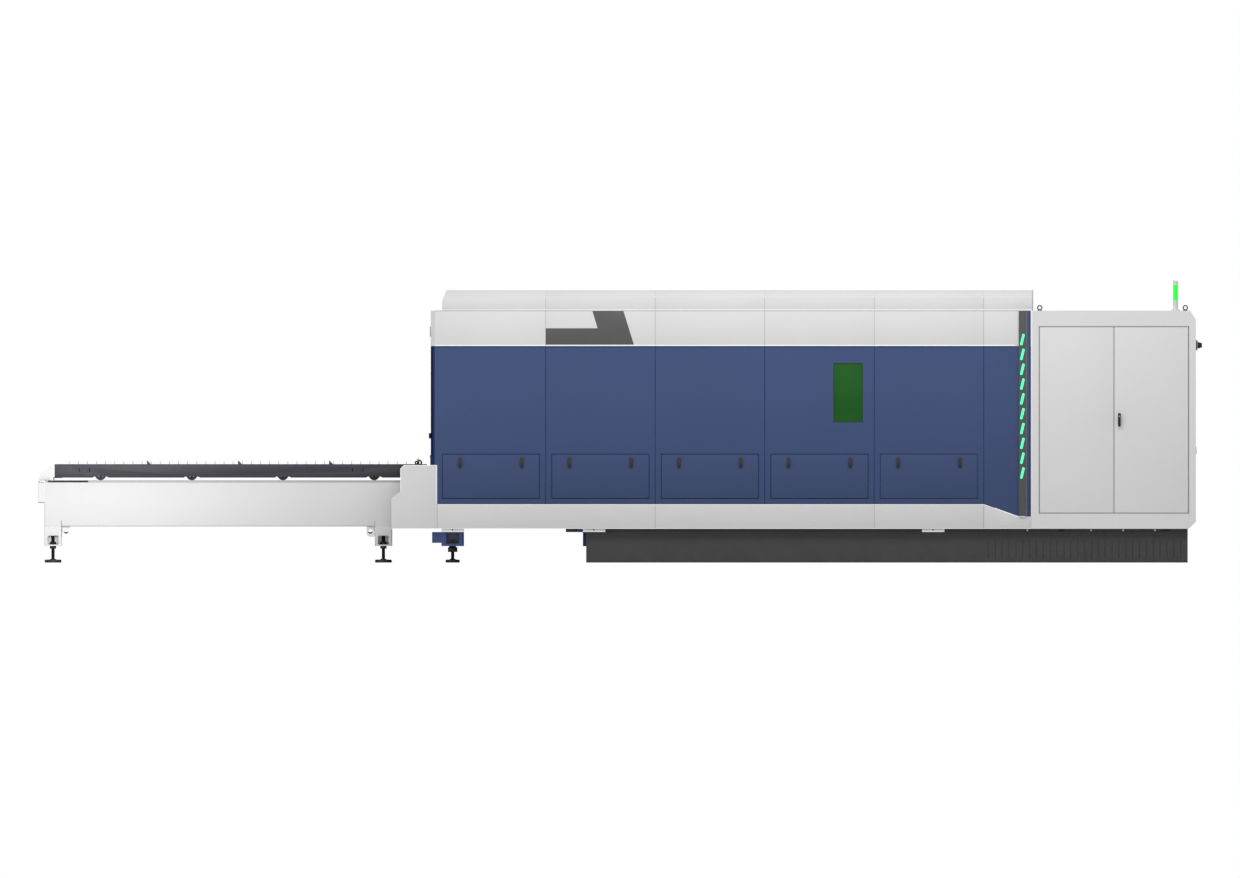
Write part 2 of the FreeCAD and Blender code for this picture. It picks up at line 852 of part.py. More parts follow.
def gantry_x():
    return enclosure_right - gantry_rest_inset


def gantry_beam():
    """Closed cross beam on two end carriages that ride the linear rails."""
    x = gantry_x()
    half = gantry_beam_width / 2
    z0, z1 = gantry_beam_bottom, gantry_beam_bottom + gantry_beam_height
    reach = rail_spacing / 2 + gantry_end_width / 2
    edge = gantry_edge
    beam = prism_x([(-reach, z0), (reach, z0), (reach, z1 - edge), (reach - edge, z1), (edge - reach, z1),
                    (-reach, z1 - edge)], x - half, x + half)
    rail_top = bed_beam_top + rail_height
    base = rail_top + block_gap
    end_y = rail_spacing / 2 - gantry_end_width / 2
    carriage = box(x - gantry_end_length / 2, x + gantry_end_length / 2, end_y, end_y + gantry_end_width,
                   base, base + gantry_end_height)
    leg = prism_x([
        (end_y, base + gantry_end_height), (end_y + gantry_end_width, base + gantry_end_height),
        (end_y + gantry_end_width, z0), (end_y, z0),
    ], x - half, x + half)
    skirts = []
    for dx in (-gantry_end_length / 2, gantry_end_length / 2 - gantry_leg_width):
        for side in (-1, 1):
            y = rail_spacing / 2 + side * (rail_width / 2 + block_gap + block_lip / 2)
            y0, y1 = y - block_lip / 2, y + block_lip / 2
            skirts.append(box(x + dx, x + dx + gantry_leg_width, y0, y1, base - rail_height * 0.6, base))
    rail_x = x - half
    rails = [box(rail_x - cross_rail_size, rail_x, -reach + 20, reach - 20, z, z + cross_rail_size)
             for z in (z0 + 20, z1 - 20 - cross_rail_size)]
    return [beam] + both_sides([carriage, leg] + skirts) + rails


def carriage_face():
    return gantry_x() - gantry_beam_width / 2 - cross_rail_size - block_gap


def cross_carriage():
    """Plate that travels along the beam, with hooks over its rails and a slide for the head."""
    x1 = carriage_face()
    x0 = x1 - carriage_thickness
    z0, z1 = gantry_beam_bottom - 10, gantry_beam_bottom + gantry_beam_height + 60
    half = carriage_width / 2
    plate = box(x0, x1, -half, half, z0, z1)
    cover = prism_y([
        (x0, z1), (x1 + 60, z1), (x1 + 60, z1 + 14), (x1 + 20, z1 + 60), (x0, z1 + 60),
    ], -half, half)
    rails = [box(x0 - 16, x0, y - 8, y + 8, z0, z1) for y in (-70, 70)]
    return [plate, cover] + rails


def head_x():
    return carriage_face() - carriage_thickness - 16 - block_gap - 70


def cutting_head():
    """Slide plate, sealed head body, focusing barrel, cone and nozzle."""
    x = head_x()
    slide = carriage_face() - carriage_thickness - 16 - block_gap
    tip = head_tip_height
    body_low = tip + 190
    half = head_body_width / 2
    plate = box(slide - 12, slide, -90, 90, body_low - 40, body_low + head_body_height - 20)
    body = box(x - half, slide - 12, -half, half, body_low, body_low + head_body_height)
    barrel = turned(x, 0, [
        (nozzle_tip_radius, tip), (12, tip + 14), (22, tip + 30), (30, body_low - 130), (30, body_low - 90),
        (40, body_low - 70), (40, body_low),
    ], 16)
    bore = many_sided(V(x, 0, tip), Z, nozzle_radius, 24, 8)
    collimator = many_sided(V(x, 0, body_low + head_body_height), Z, 26, 90, 16)
    return [plate, body, barrel.cut(bore), collimator]


# ---------------------------------------------------------------- exchange table

def table_span():
    return table_left, enclosure_left - table_gap


def side_beam():
    """Folded box beam with its top strip and a rounded nose at the free end."""
    x0, x1 = table_span()
    y0, y1 = bed_inner_half, bed_inner_half + beam_width
    body = box(x0, x1, y0, y1, beam_bottom, beam_top - beam_strip)
    strip = box(x0, x1, y0, y1, beam_top - beam_strip, beam_top)
    nose = box(x0 - nose_length, x0, y0, y1, nose_bottom, nose_top)
    edges = [e for e in nose.Edges if abs(e.BoundBox.XMax - (x0 - nose_length)) < 1e-6
             and e.BoundBox.YLength > beam_width / 2]
    nose = nose.makeFillet(nose_radius, edges)
    return [body, strip, nose]


def leg(x):
    """Square leg with a round-cornered window at its foot, through which the jam nut is reached."""
    y0, y1 = bed_inner_half, bed_inner_half + leg_depth
    half = leg_width / 2
    solid = box(x - half, x + half, y0, y1, leg_bottom, beam_bottom)
    solid = solid.cut(box(x - half + leg_wall, x + half - leg_wall, y0 + leg_wall, y1 - leg_wall,
                          leg_bottom + leg_floor, beam_bottom))
    reach = leg_window_width / 2
    low = leg_bottom + leg_floor
    high = low + leg_window_height
    corner = leg_window_corner
    window = [(x - reach, low), (x + reach, low), (x + reach, high - corner), (x + reach - corner, high),
              (x - reach + corner, high), (x - reach, high - corner)]
    solid = solid.cut(prism_y(window, y0 + leg_wall, y1))
    hole = stem_radius + stem_hole_gap
    middle = bed_inner_half + beam_width / 2
    return solid.cut(box(x - hole, x + hole, middle - hole, middle + hole, leg_bottom, low))


def sprocket_guard():
    """Quarter-round sheet over the chain's sprocket at the table's free end."""
    r = guard_radius
    x0 = table_left - nose_length + guard_inset
    y0 = bed_inner_half
    z0 = beam_top
    centre = V(x0 + r, y0, z0)
    edges = [
        Part.Arc(centre + V(-r, 0, 0), centre + V(-r * 0.7071, 0, r * 0.7071), centre + V(0, 0, r)).toShape(),
        Part.LineSegment(centre + V(0, 0, r), centre).toShape(),
        Part.LineSegment(centre, centre + V(-r, 0, 0)).toShape(),
    ]
    return Part.Face(Part.Wire(edges)).extrude(V(0, guard_width, 0))


def table_side_beams():
    legs = [leg(x) for x in leg_places]
    return both_sides(side_beam() + legs + [sprocket_guard()])


def anchor_lugs():
    """Plates at the legs' inner sides, each with a hole to tie the table down."""
    solids = []
    y = bed_inner_half + leg_depth / 2
    top = beam_bottom
    for x, direction in ((leg_places[0] + leg_width / 2, 1), (leg_places[1] - leg_width / 2, -1)):
        outer = x + direction * lug_reach
        drop = top - lug_height
        cut = lug_height - lug_hole_drop - lug_hole_radius
        edge = [(x, top), (outer, top), (outer, drop + cut), (outer - direction * cut, drop), (x, drop)]
        lug = prism_y(edge, y - lug_thickness / 2, y + lug_thickness / 2)
        hole_x = x + direction * lug_reach * 0.55
        lug = lug.cut(rod(V(hole_x, y - lug_thickness, top - lug_hole_drop), Y, lug_hole_radius,
                          2 * lug_thickness))
        solids.append(lug)
    return both_sides(solids)


def table_cross_members():
    half = tie_width / 2
    y = bed_inner_half
    return [box(x - half, x + half, -y, y, beam_bottom, beam_bottom + tie_height) for x in tie_places]


def pallet_rails():
    """Upper and lower ledges for the pallet wheels, along the table and again inside the machine."""
    spans = [
        (table_left, enclosure_left - ledge_table_gap - table_gap),
        (enclosure_left + ledge_machine_gap, enclosure_right - ledge_machine_right_gap),
    ]
    solids = []
    for drop in level_z.values():
        top = upper_rail_top + drop
        y0, y1, t = ledge_inner, bed_inner_half, ledge_thickness
        angle = [(y0, top), (y1, top), (y1, top - ledge_apron), (y1 - t, top - ledge_apron),
                 (y1 - t, top - t), (y0, top - t)]
        solids += [prism_x(angle, x0, x1) for x0, x1 in spans]
    return both_sides(solids)


# ---------------------------------------------------------------- pallets

def wheel_places():
    return [pallet_left + wheel_first + wheel_pitch * k for k in range(wheel_count)]


def axle_height():
    return upper_rail_top + wheel_radius + roll_gap


def wheel_faces():
    """Inner and outer face of the wheels, measured from the middle."""
    outer = pallet_side_outer - pallet_side_thickness - wheel_gap
    return outer - wheel_width, outer


def comb_faces():
    """The comb bars stand just inboard of the wheels."""
    outer = wheel_faces()[0] - 2 * wheel_gap
    return outer - comb_width, outer


def wheelset(x):
    """Through axle with a wheel at each end."""
    z = axle_height()
    y0, y1 = wheel_faces()
    wheel = many_sided(V(x, y0, z), Y, wheel_radius, wheel_width, 16)
    axle = many_sided(V(x, -y0, z), Y, axle_radius, 2 * y0, 6)
    return [axle] + both_sides([wheel])


def fork(x):
    """Downward fork under the comb bar that sits over the axle."""
    z = axle_height()
    y1 = comb_faces()[1]
    half = fork_size / 2
    grip = axle_radius + running_gap
    top = comb_top - comb_height
    outline = [(x - half, top), (x - half, z - fork_drop), (x - grip, z - fork_drop), (x - grip, z + grip),
               (x + grip, z + grip), (x + grip, z - fork_drop), (x + half, z - fork_drop), (x + half, top)]
    return prism_y(outline, y1 - fork_thickness, y1)


def side_spacers():
    """Short blocks between the wheels that tie each side plate to its comb bar."""
    reach = wheel_radius + spacer_gap
    places = wheel_places()
    starts = [pallet_left + cross_bar_width] + [x + reach for x in places]
    ends = [x - reach for x in places] + [pallet_left + pallet_length - cross_bar_width]
    y0, y1 = comb_faces()[1], pallet_side_outer - pallet_side_thickness
    return [box(a, b, y0, y1, comb_top - comb_height, comb_top) for a, b in zip(starts, ends)]


def pallet_side():
    """Side plate with shallow wheel notches along its lower edge and two pairs of hook slots."""
    x0, x1 = pallet_left, pallet_left + pallet_length
    outline = [(x0, pallet_top), (x0, pallet_bottom)]
    for x in wheel_places():
        half = notch_width / 2
        outline += [(x - half, pallet_bottom), (x - half + notch_height, pallet_bottom + notch_height)]
        outline += [(x + half - notch_height, pallet_bottom + notch_height), (x + half, pallet_bottom)]
    outline += [(x1, pallet_bottom), (x1, pallet_top)]
    y1 = pallet_side_outer
    plate = prism_y(outline, y1 - pallet_side_thickness, y1)
    high = pallet_top - hook_slot_top
    half = hook_slot_width / 2
    for x in [x0 + inset for inset in hook_slots_left] + [x1 - inset for inset in hook_slots_right]:
        plate = plate.cut(box(x - half, x + half, y1 - pallet_side_thickness, y1,
                              high - hook_slot_height, high))
    return plate


def stop_wedge(x):
    """Wedge on the side plate's top edge that centres the sheet."""
    y1 = pallet_side_outer
    return prism_y([(x, pallet_top), (x + stop_length, pallet_top), (x, pallet_top + stop_height)],
                   y1 - pallet_side_thickness, y1)


def pallet_frame():
    x0, x1 = pallet_left, pallet_left + pallet_length
    inner = pallet_side_outer - pallet_side_thickness
    bar = cross_bar_width
    low = comb_top - comb_height
    comb_inner, comb_outer = comb_faces()
    sides = [pallet_side(), box(x0 + bar, x1 - bar, comb_inner, comb_outer, low, comb_top)]
    sides += side_spacers()
    sides += [fork(x) for x in wheel_places()]
    sides += [stop_wedge(x0 + stop_first + stop_pitch * k) for k in range(3)]
    solids = both_sides(sides)
    solids += [box(x, x + bar, -inner, inner, pallet_bottom + 10, comb_top) for x in (x0, x1 - bar)]
    middle = x0 + pallet_length / 2
    solids.append(box(middle - bar / 2, middle + bar / 2, -comb_inner, comb_inner, low, comb_top))
    dome_y = -(inner - dome_radius)
    dome_sections = [(dome_radius, comb_top), (dome_radius, comb_top + dome_height * 0.6),
                     (dome_radius * 0.6, comb_top + dome_height)]
    solids.append(turned(x1 - dome_inset, dome_y, dome_sections, 12))
    return solids


def slat(x):
    """Thin upright plate whose upper edge is cut into triangular teeth."""
    half = comb_faces()[1] - slat_end_gap
    pitch = 2 * half / slat_teeth
    outline = [(-half, comb_top), (half, comb_top)]
    outline.append((half, slat_top - slat_tooth_depth))
    for k in range(slat_teeth):
        right = half - pitch * k
        outline.append((right - pitch / 2, slat_top))
        outline.append((right - pitch, slat_top - slat_tooth_depth))
    return prism_x(outline, x - slat_thickness / 2, x + slat_thickness / 2)


def slats():
    first = pallet_left + slat_first
    return [slat(first + slat_pitch * k) for k in range(slat_count)]


def at_level(solids, level):
    return [moved(s, dx=level_x[level], dz=level_z[level]) for s in solids]


# ---------------------------------------------------------------- pallet drive

def sprocket(x, y, z):
    """Toothed wheel: one flat-topped tooth per pitch round the disc."""
    outline = []
    step = 2 * math.pi / sprocket_teeth
    for k in range(sprocket_teeth):
        for part, r in ((0.2, sprocket_radius - 9), (0.7, sprocket_radius)):
            a = (k + part) * step
            outline.append((x + r * math.cos(a), z + r * math.sin(a)))
    return prism_y(outline, y, y + sprocket_width)


def drive_shaft():
    """Cross shaft with a sprocket near each end and a stub that runs in the side beam."""
    x = table_left + shaft_place
    end = chain_half + sprocket_width
    shaft = rod(V(x, -chain_half, shaft_height), Y, shaft_radius, 2 * chain_half)
    stub = many_sided(V(x, end, shaft_height), Y, shaft_radius, bed_inner_half - fit - end, 8)
    return [shaft] + both_sides([sprocket(x, chain_half, shaft_height), stub])


def chain_loop(y):
    """Closed chain strand round the drive sprocket and the return wheel."""
    x0 = table_left + shaft_place
    x1 = enclosure_left - table_gap - 2 * sprocket_radius
    r_out = sprocket_radius + chain_thickness
    r_in = (sprocket_radius + fit) / math.cos(math.pi / chain_end_steps / 2)

    def stadium(r):
        outline = []
        for x, start in ((x1, math.pi / 2), (x0, -math.pi / 2)):
            for k in range(chain_end_steps + 1):
                a = start - math.pi * k / chain_end_steps
                outline.append((x + r * math.cos(a), shaft_height + r * math.sin(a)))
        return prism_y(outline, y, y + chain_width)

    return stadium(r_out).cut(stadium(r_in))


def drive_chains():
    x1 = enclosure_left - table_gap - 2 * sprocket_radius
    y = chain_half + (sprocket_width - chain_width) / 2
    idler = many_sided(V(x1, y, shaft_height), Y, sprocket_radius - fit, chain_width, 16)
    post = many_sided(V(x1, y + chain_width, shaft_height), Y, shaft_radius,
                      bed_inner_half - y - chain_width, 8)
    return both_sides([chain_loop(y), idler, post])


def drive_motor():
    """Gearbox round the shaft and its motor, hung from the first cross member."""
    x = table_left + shaft_place
    half = gearbox_width / 2
    y0, y1 = -gearbox_length / 2, gearbox_length / 2
    bore = square_hole(x, shaft_height, shaft_radius + running_gap, y0, y1)
    low = beam_bottom + tie_height
    gearbox = box(x - half, x + half, y0, y1, low, shaft_height + gearbox_above).cut(bore)
    motor = rod(V(x, y1, low + motor_radius), Y, motor_radius, motor_length)
    return [gearbox, motor]


# ---------------------------------------------------------------- electrical cabinet

def cabinet_outline(inset):
    """Cabinet seen from the front, with chamfered right corners."""
    x0, x1 = enclosure_right + inset, cabinet_right - inset
    z0, z1 = plinth_height + inset, body_top - inset
    return [
        (x0, z0), (x1 - cabinet_low_chamfer_x, z0), (x1, z0 + cabinet_low_chamfer_z),
        (x1, z1 - cabinet_top_chamfer_z), (x1 - cabinet_top_chamfer_x, z1), (x0, z1),
    ]


def doorway():
    left, right = enclosure_right + doorway_left, cabinet_right - doorway_right
    return left, right, plinth_height + doorway_bottom, body_top - doorway_top


def cabinet_shell():
    """Wrap-round sheet, back sheet and front sheet with the doorway."""
    t = cabinet_sheet
    ring = prism_y(cabinet_outline(0), front_y + t, half_depth - t)
    ring = ring.cut(prism_y(cabinet_outline(t), front_y + t, half_depth - t))
    back = prism_y(cabinet_outline(0), half_depth - t, half_depth)
    front = prism_y(cabinet_outline(0), front_y, front_y + t)
    left, right, bottom, top = doorway()
    front = front.cut(box(left, right, front_y, front_y + t, bottom, top))
    solids = [ring, back, front]
    x_flange = cabinet_right + switch_base_depth
    y = front_y + switch_place
    half = switch_base / 2
    base = prism_x([(y - half, switch_height - half), (y + half, switch_height - half),
                    (y + half, switch_height + half), (y - half, switch_height + half)],
                   cabinet_right, x_flange)
    return solids + [base] + leaf_lugs()


def leaf_axis(side):
    """Upright hinge line of a cabinet leaf: x and y."""
    left, right, _, _ = doorway()
    rise = leaf_gap + hinge_rise
    x = left + rise if side == "left" else right - rise
    return x, front_y + hinge_inset


def leaf_lugs():
    """Top and bottom lugs behind the front sheet, each with an upright pin."""
    _, _, bottom, top = doorway()
    solids = []
    for side in ("left", "right"):
        x, y = leaf_axis(side)
        half = hinge_lug_size / 2
        for z, up in ((bottom, 1), (top, -1)):
            z0, z1 = sorted((z, z - up * hinge_lug_size))
            solids.append(box(x - half, x + half, front_y + cabinet_sheet, y + half, z0, z1))
            reach = leaf_gap + sheet + hinge_pin_radius
            solids.append(many_sided(V(x, y, z), V(0, 0, up), hinge_pin_radius, reach, 8))
    return solids


def cabinet_leaf(side):
    """Door leaf: face sheet with a folded rim; the rim's ends are bored for the hinge pins."""
    left, right, bottom, top = doorway()
    middle = (left + right) / 2
    x0, x1 = left + leaf_gap, middle - leaf_gap / 2
    if side == "right":
        x0, x1 = middle + leaf_gap / 2, right - leaf_gap
    z0, z1 = bottom + leaf_gap, top - leaf_gap
    leaf = box(x0, x1, front_y, front_y + leaf_return, z0, z1)
    leaf = leaf.cut(box(x0 + sheet, x1 - sheet, front_y + sheet, front_y + leaf_return,
                        z0 + sheet, z1 - sheet))
    x, y = leaf_axis(side)
    hole = hinge_pin_radius + running_gap
    leaf = leaf.cut(box(x - hole, x + hole, y - hole, y + hole, bottom, top))
    if side == "right":
        shaft = latch_shaft_radius + running_gap
        leaf = leaf.cut(square_hole(handle_x(), handle_height, shaft, front_y, front_y + sheet))
    return [leaf]


def handle_x():
    left, right, _, _ = doorway()
    return (left + right) / 2 + handle_inset


def door_handle():
    """Bar handle on a round boss, with a cam on the inside of the leaf."""
    x, z = handle_x(), handle_height
    y0 = front_y - handle_depth
    half = handle_width / 2
    grip = slot_y(x, z - handle_length / 4, handle_width, handle_length, y0, y0 + handle_depth * 0.5)
    boss = many_sided(V(x, y0 + handle_depth * 0.5, z), Y, half, handle_depth * 0.5 - fit, 12)
    cam_y = front_y + leaf_return + fit
    shaft_length = cam_y + latch_cam_depth - front_y + fit
    shaft = many_sided(V(x, front_y - fit, z), Y, latch_shaft_radius, shaft_length, 8)
    cam = box(x - latch_cam_width / 2, x + latch_cam_width / 2, cam_y, cam_y + latch_cam_depth,
              z - latch_cam_width / 2, z + handle_inset + handle_cam_reach)
    return [grip.multiFuse([boss, shaft, cam]).removeSplitter()]


def cabinet_gear():
    """Mounting plate on two brackets, with servo drives in a row and a breaker rail."""
    x0, x1 = enclosure_right + plate_margin, cabinet_right - plate_margin
    y = front_y + plate_setback
    z0, z1 = plinth_height + plate_margin, body_top - 2 * plate_margin
    plate = box(x0, x1, y, y + plate_thickness, z0, z1)
    gap = (x1 - x0 - drive_count * drive_width) / (drive_count + 1)
    top = z1 - drive_top_gap
    drives = []
    for k in range(drive_count):
        x = x0 + gap + (drive_width + gap) * k
        drives.append(box(x, x + drive_width, y - drive_depth, y, top - drive_height, top))
    rail_low = z0 + breaker_rise
    breakers = box(x0 + gap, x1 - gap, y - breaker_depth, y, rail_low, rail_low + breaker_height)
    brackets = [box(x, x + bracket_size, y + plate_thickness, y + bracket_size,
                    plinth_height + cabinet_sheet, z0 + bracket_height)
                for x in (x0 + bracket_inset, x1 - bracket_inset - bracket_size)]
    return [plate, breakers] + drives + brackets


def laser_source():
    """Laser source cabinet on the cabinet floor behind the mounting plate, with two handles."""
    x0 = enclosure_right + source_left_inset
    y0 = front_y + plate_setback + source_setback
    z0 = plinth_height + cabinet_sheet
    body = box(x0, x0 + source_width, y0, y0 + source_depth, z0, z0 + source_height)
    low = z0 + (source_height - pull_height) / 2
    handles = [box(x, x + pull_width, y0 - pull_depth, y0, low, low + pull_height)
               for x in (x0 + pull_inset, x0 + source_width - pull_inset - pull_width)]
    return [body] + handles


def eye_bolt(x, y):
    """Ring with a straight bore, on a collar."""
    z = body_top + eye_collar_height + eye_radius - 4
    half = eye_thickness / 2
    ring = many_sided(V(x, y - half, z), Y, eye_radius, eye_thickness, 12)
    collar = many_sided(V(x, y, body_top), Z, eye_collar_radius, eye_collar_height, 8)
    return ring.fuse(collar).cut(rod(V(x, y - half, z), Y, eye_hole_radius, eye_thickness))


def eye_bolts():
    y = front_y + eye_depth_inset
    front = [eye_bolt(enclosure_right + eye_insets[0], y), eye_bolt(cabinet_right - eye_insets[1], y)]
    return both_sides(front)


def tower_light():
    x, y = cabinet_right - tower_inset, front_y + tower_depth_inset
    z0 = body_top
    z1 = z0 + tower_flange_height + tower_stem_height
    z2 = z1 + tower_lens_height
    flange = turned(x, y, [(tower_flange_radius, z0), (tower_radius, z0 + tower_flange_height)], 16)
    stem = many_sided(V(x, y, z0 + tower_flange_height), Z, tower_radius, tower_stem_height, 16)
    lens = many_sided(V(x, y, z1), Z, tower_radius, tower_lens_height, 16)
    cap = many_sided(V(x, y, z2), Z, tower_radius, tower_cap_height + tower_cap_rise, 16)
    r = tower_radius + 1
    top = z2 + tower_cap_height
    cap = cap.cut(prism_y([(x - r, top + tower_cap_rise), (x + r, top), (x + r, top + 3 * tower_cap_rise),
                           (x - r, top + 3 * tower_cap_rise)], y - r, y + r))
    return [flange, stem, cap], [lens]


def switch_knob():
    """Tapered rotary knob on the cabinet's side, with a grip bar across it."""
    x0 = cabinet_right + switch_base_depth + fit
    y, z = front_y + switch_place, switch_height
    r0, r1 = switch_knob_radius, switch_knob_radius * 0.8
    knob = many_sided(V(x0, y, z), X, r0, switch_knob_length * 0.6, 12)
    grip = box(x0, x0 + switch_knob_length, y - 7, y + 7, z - r1, z + r1)
    return [knob.fuse(grip).removeSplitter()]


# ---------------------------------------------------------------- flaps and latches

def latch_places(k):
    left, right, _, top = flap_opening(k)
    z = top - flap_gap - latch_top_inset
    return [(left + flap_gap + latch_side_inset, z), (right - flap_gap - latch_side_inset, z)]


def flap(k):
    """Face sheet with a folded rim, two hinge holes and two latch holes."""
    left, right, bottom, top = flap_opening(k)
    x0, x1, z0, z1 = left + flap_gap, right - flap_gap, bottom + flap_gap, top - flap_gap
    body = box(x0, x1, front_y, front_y + flap_return, z0, z1)
    body = body.cut(box(x0 + sheet, x1 - sheet, front_y + sheet, front_y + flap_return,
                        z0 + sheet, z1 - sheet))
    _, _, y, z = hinge_axis(k)
    hole = hinge_pin_radius + running_gap
    body = body.cut(box(x0, x1, y - hole, y + hole, z - hole, z + hole))
    for x, z in latch_places(k):
        body = body.cut(square_hole(x, z, latch_shaft_radius + running_gap, front_y, front_y + sheet))
    return [body]


def latch(x, z):
    """Capsule lever on a shaft; the cam behind the flap lies level while the flap is free to drop."""
    y0 = front_y - latch_depth
    lever = slot_y(x, z, latch_width, latch_length, y0, front_y - fit)
    cam_y = front_y + flap_return + fit
    shaft_length = cam_y + latch_cam_depth - front_y + fit
    shaft = many_sided(V(x, front_y - fit, z), Y, latch_shaft_radius, shaft_length, 8)
    cam = box(x - latch_cam_width / 2, x + latch_cam_length, cam_y, cam_y + latch_cam_depth,
              z - latch_cam_width / 2, z + latch_cam_width / 2)
    return [lever.multiFuse([shaft, cam]).removeSplitter()]


os.makedirs("parts", exist_ok=True)

save("enclosure_frame", frame_tubes())
save("front_panels", front_panels())
save("rear_panels", [mirrored(s) for s in panel_sheets()])
save("fascia", fascia_panels())
save("window_pane", window_pane())
save("light_bar", light_bar())
save("light_lenses", light_lenses())
save("roof", roof())
save("port_wall", port_wall())
save("port_door", port_door())
save("lower_covers", both_sides(lower_cover()))
save("plinth", plinth())
save("plinth_vents", plinth_vents())

save("bed_frame", bed_frame())
save("levelling_feet", levelling_feet())
save("gantry_rails", gantry_rails())
save("scrap_tray", scrap_tray())
save("gantry_beam", gantry_beam())
save("cross_carriage", cross_carriage())
save("cutting_head", cutting_head())

save("table_side_beams", table_side_beams())
save("anchor_lugs", anchor_lugs())
save("table_cross_members", table_cross_members())
save("pallet_rails", pallet_rails())
save("drive_shaft", drive_shaft())
save("drive_chains", drive_chains())
save("drive_motor", drive_motor())

lower_wheels = [solid for place in wheel_places() for solid in wheelset(place)]
save("upper_pallet_frame", pallet_frame())
save("upper_slats", slats())
save("lower_pallet_frame", at_level(pallet_frame() + lower_wheels, "lower"))
save("lower_slats", at_level(slats(), "lower"))
for number, place in enumerate(wheel_places(), 1):
    save(f"wheelset_{number}", wheelset(place))

save("cabinet_shell", cabinet_shell())
save("cabinet_gear", cabinet_gear())
save("laser_source", laser_source())
save("cabinet_door_left", cabinet_leaf("left"))
save("cabinet_door_right", cabinet_leaf("right"))
save("door_handle", door_handle())
save("eye_bolts", eye_bolts())
tower_base, tower_lens = tower_light()
save("tower_light_base", tower_base)
save("tower_light_lens", tower_lens)
save("switch_knob", switch_knob())

for number in range(panel_count):
    save(f"flap_{number + 1}", flap(number))
    for side, (x, z) in enumerate(latch_places(number)):
        save(f"latch_{2 * number + side + 1}", latch(x, z))
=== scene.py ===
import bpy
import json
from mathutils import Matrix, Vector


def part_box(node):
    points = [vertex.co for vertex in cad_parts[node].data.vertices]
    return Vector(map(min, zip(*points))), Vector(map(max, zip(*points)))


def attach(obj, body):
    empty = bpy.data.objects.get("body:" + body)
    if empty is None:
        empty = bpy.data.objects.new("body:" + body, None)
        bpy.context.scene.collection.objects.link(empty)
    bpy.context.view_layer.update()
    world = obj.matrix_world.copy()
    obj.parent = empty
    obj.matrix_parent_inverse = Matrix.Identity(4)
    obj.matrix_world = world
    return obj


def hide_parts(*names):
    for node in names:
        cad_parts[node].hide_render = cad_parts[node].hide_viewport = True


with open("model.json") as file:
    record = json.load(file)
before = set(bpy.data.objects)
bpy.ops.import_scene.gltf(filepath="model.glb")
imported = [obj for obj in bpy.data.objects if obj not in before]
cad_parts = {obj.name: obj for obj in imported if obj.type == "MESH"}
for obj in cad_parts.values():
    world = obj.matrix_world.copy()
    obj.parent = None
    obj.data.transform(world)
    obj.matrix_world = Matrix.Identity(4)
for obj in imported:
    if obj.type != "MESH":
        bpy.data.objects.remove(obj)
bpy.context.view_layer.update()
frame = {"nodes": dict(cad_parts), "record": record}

import json
import math

import bpy
from mathutils import Matrix, Vector

bl_info = {
    "name": "Sheet laser cutting machine",
    "version": (1, 0, 0),
    "blender": (4, 5, 0),
    "location": "View3D > Sidebar > Laser machine",
    "description": "Dresses the laser cutting machine: paint, sheet metal, light strip, pallets and cabinet",
    "category": "Object",
}

MM = 0.001
X, Y, Z = Vector((1, 0, 0)), Vector((0, 1, 0)), Vector((0, 0, 1))


# ---------------------------------------------------------------- sizes and colours a user may change

def length(name, description, default):
    return bpy.props.FloatProperty(name=name, description=description, default=default, unit="LENGTH",
                                   precision=4)


def colour(name, description, default):
    return bpy.props.FloatVectorProperty(name=name, description=description, default=default, size=3,
                                         subtype="COLOR", min=0.0, max=1.0)


class PaintColours(bpy.types.PropertyGroup):
    white: colour("White", "Powder coat of the upper covers and the cabinet", (0.70, 0.70, 0.70))
    sill: colour("Sill white", "Powder coat of the lower covers and the table beams", (0.64, 0.64, 0.645))
    blue: colour("Panel blue", "Powder coat of the front and rear panels", (0.048, 0.077, 0.185))
    deep_blue: colour("Frame blue", "Paint of the frame and the corner strips", (0.004, 0.016, 0.075))
    plinth: colour("Plinth grey", "Powder coat of the plinth", (0.052, 0.052, 0.052))
    pallet: colour("Pallet grey", "Paint of the pallet frames", (0.050, 0.047, 0.059))
    strip: colour("Strip grey", "Housing of the light strip", (0.080, 0.080, 0.080))
    window: colour("Window green", "Laser safety pane", (0.016, 0.112, 0.017))
    light: colour("Strip light", "Lit lenses of the light strip", (0.11, 0.98, 0.47))
    tower: colour("Tower light", "Lit lens of the tower light", (0.006, 0.94, 0.04))


class DetailSizes(bpy.types.PropertyGroup):
    thread: length("Thread pitch", "Pitch of the levelling stems", 0.0035)
    link: length("Chain pitch", "Pitch of the pallet chain", 0.0254)
    tooth: length("Slat tooth", "Pitch of the teeth along a slat", 0.0600)


class StudioSettings(bpy.types.PropertyGroup):
    frame_width: length("Frame width", "Width of the camera's view", 10.292)
    camera_height: length("Camera height", "Height of the camera's centre", 1.0259)
    sky: bpy.props.FloatProperty(name="Sky", description="Strength of the even studio light", default=0.50)
    key: bpy.props.FloatProperty(name="Key light", description="Power of the lamp above the front, in watts",
                                 default=285.0)
    side: bpy.props.FloatProperty(name="Side light", description="Power of the lamp at the table's end, in watts",
                                  default=38.0)


def colours():
    return bpy.context.scene.laser_colours


def sizes():
    return bpy.context.scene.laser_sizes


# ---------------------------------------------------------------- modelling, as by hand; places in millimetres

def clear():
    if bpy.context.mode != "OBJECT":
        bpy.ops.object.mode_set(mode="OBJECT")
    bpy.ops.object.select_all(action="DESELECT")


def pick(*pieces):
    clear()
    for piece in pieces:
        piece.select_set(True)
    bpy.context.view_layer.objects.active = pieces[0]


def rename(piece, name):
    piece.name = name
    piece.data.name = name
    return piece


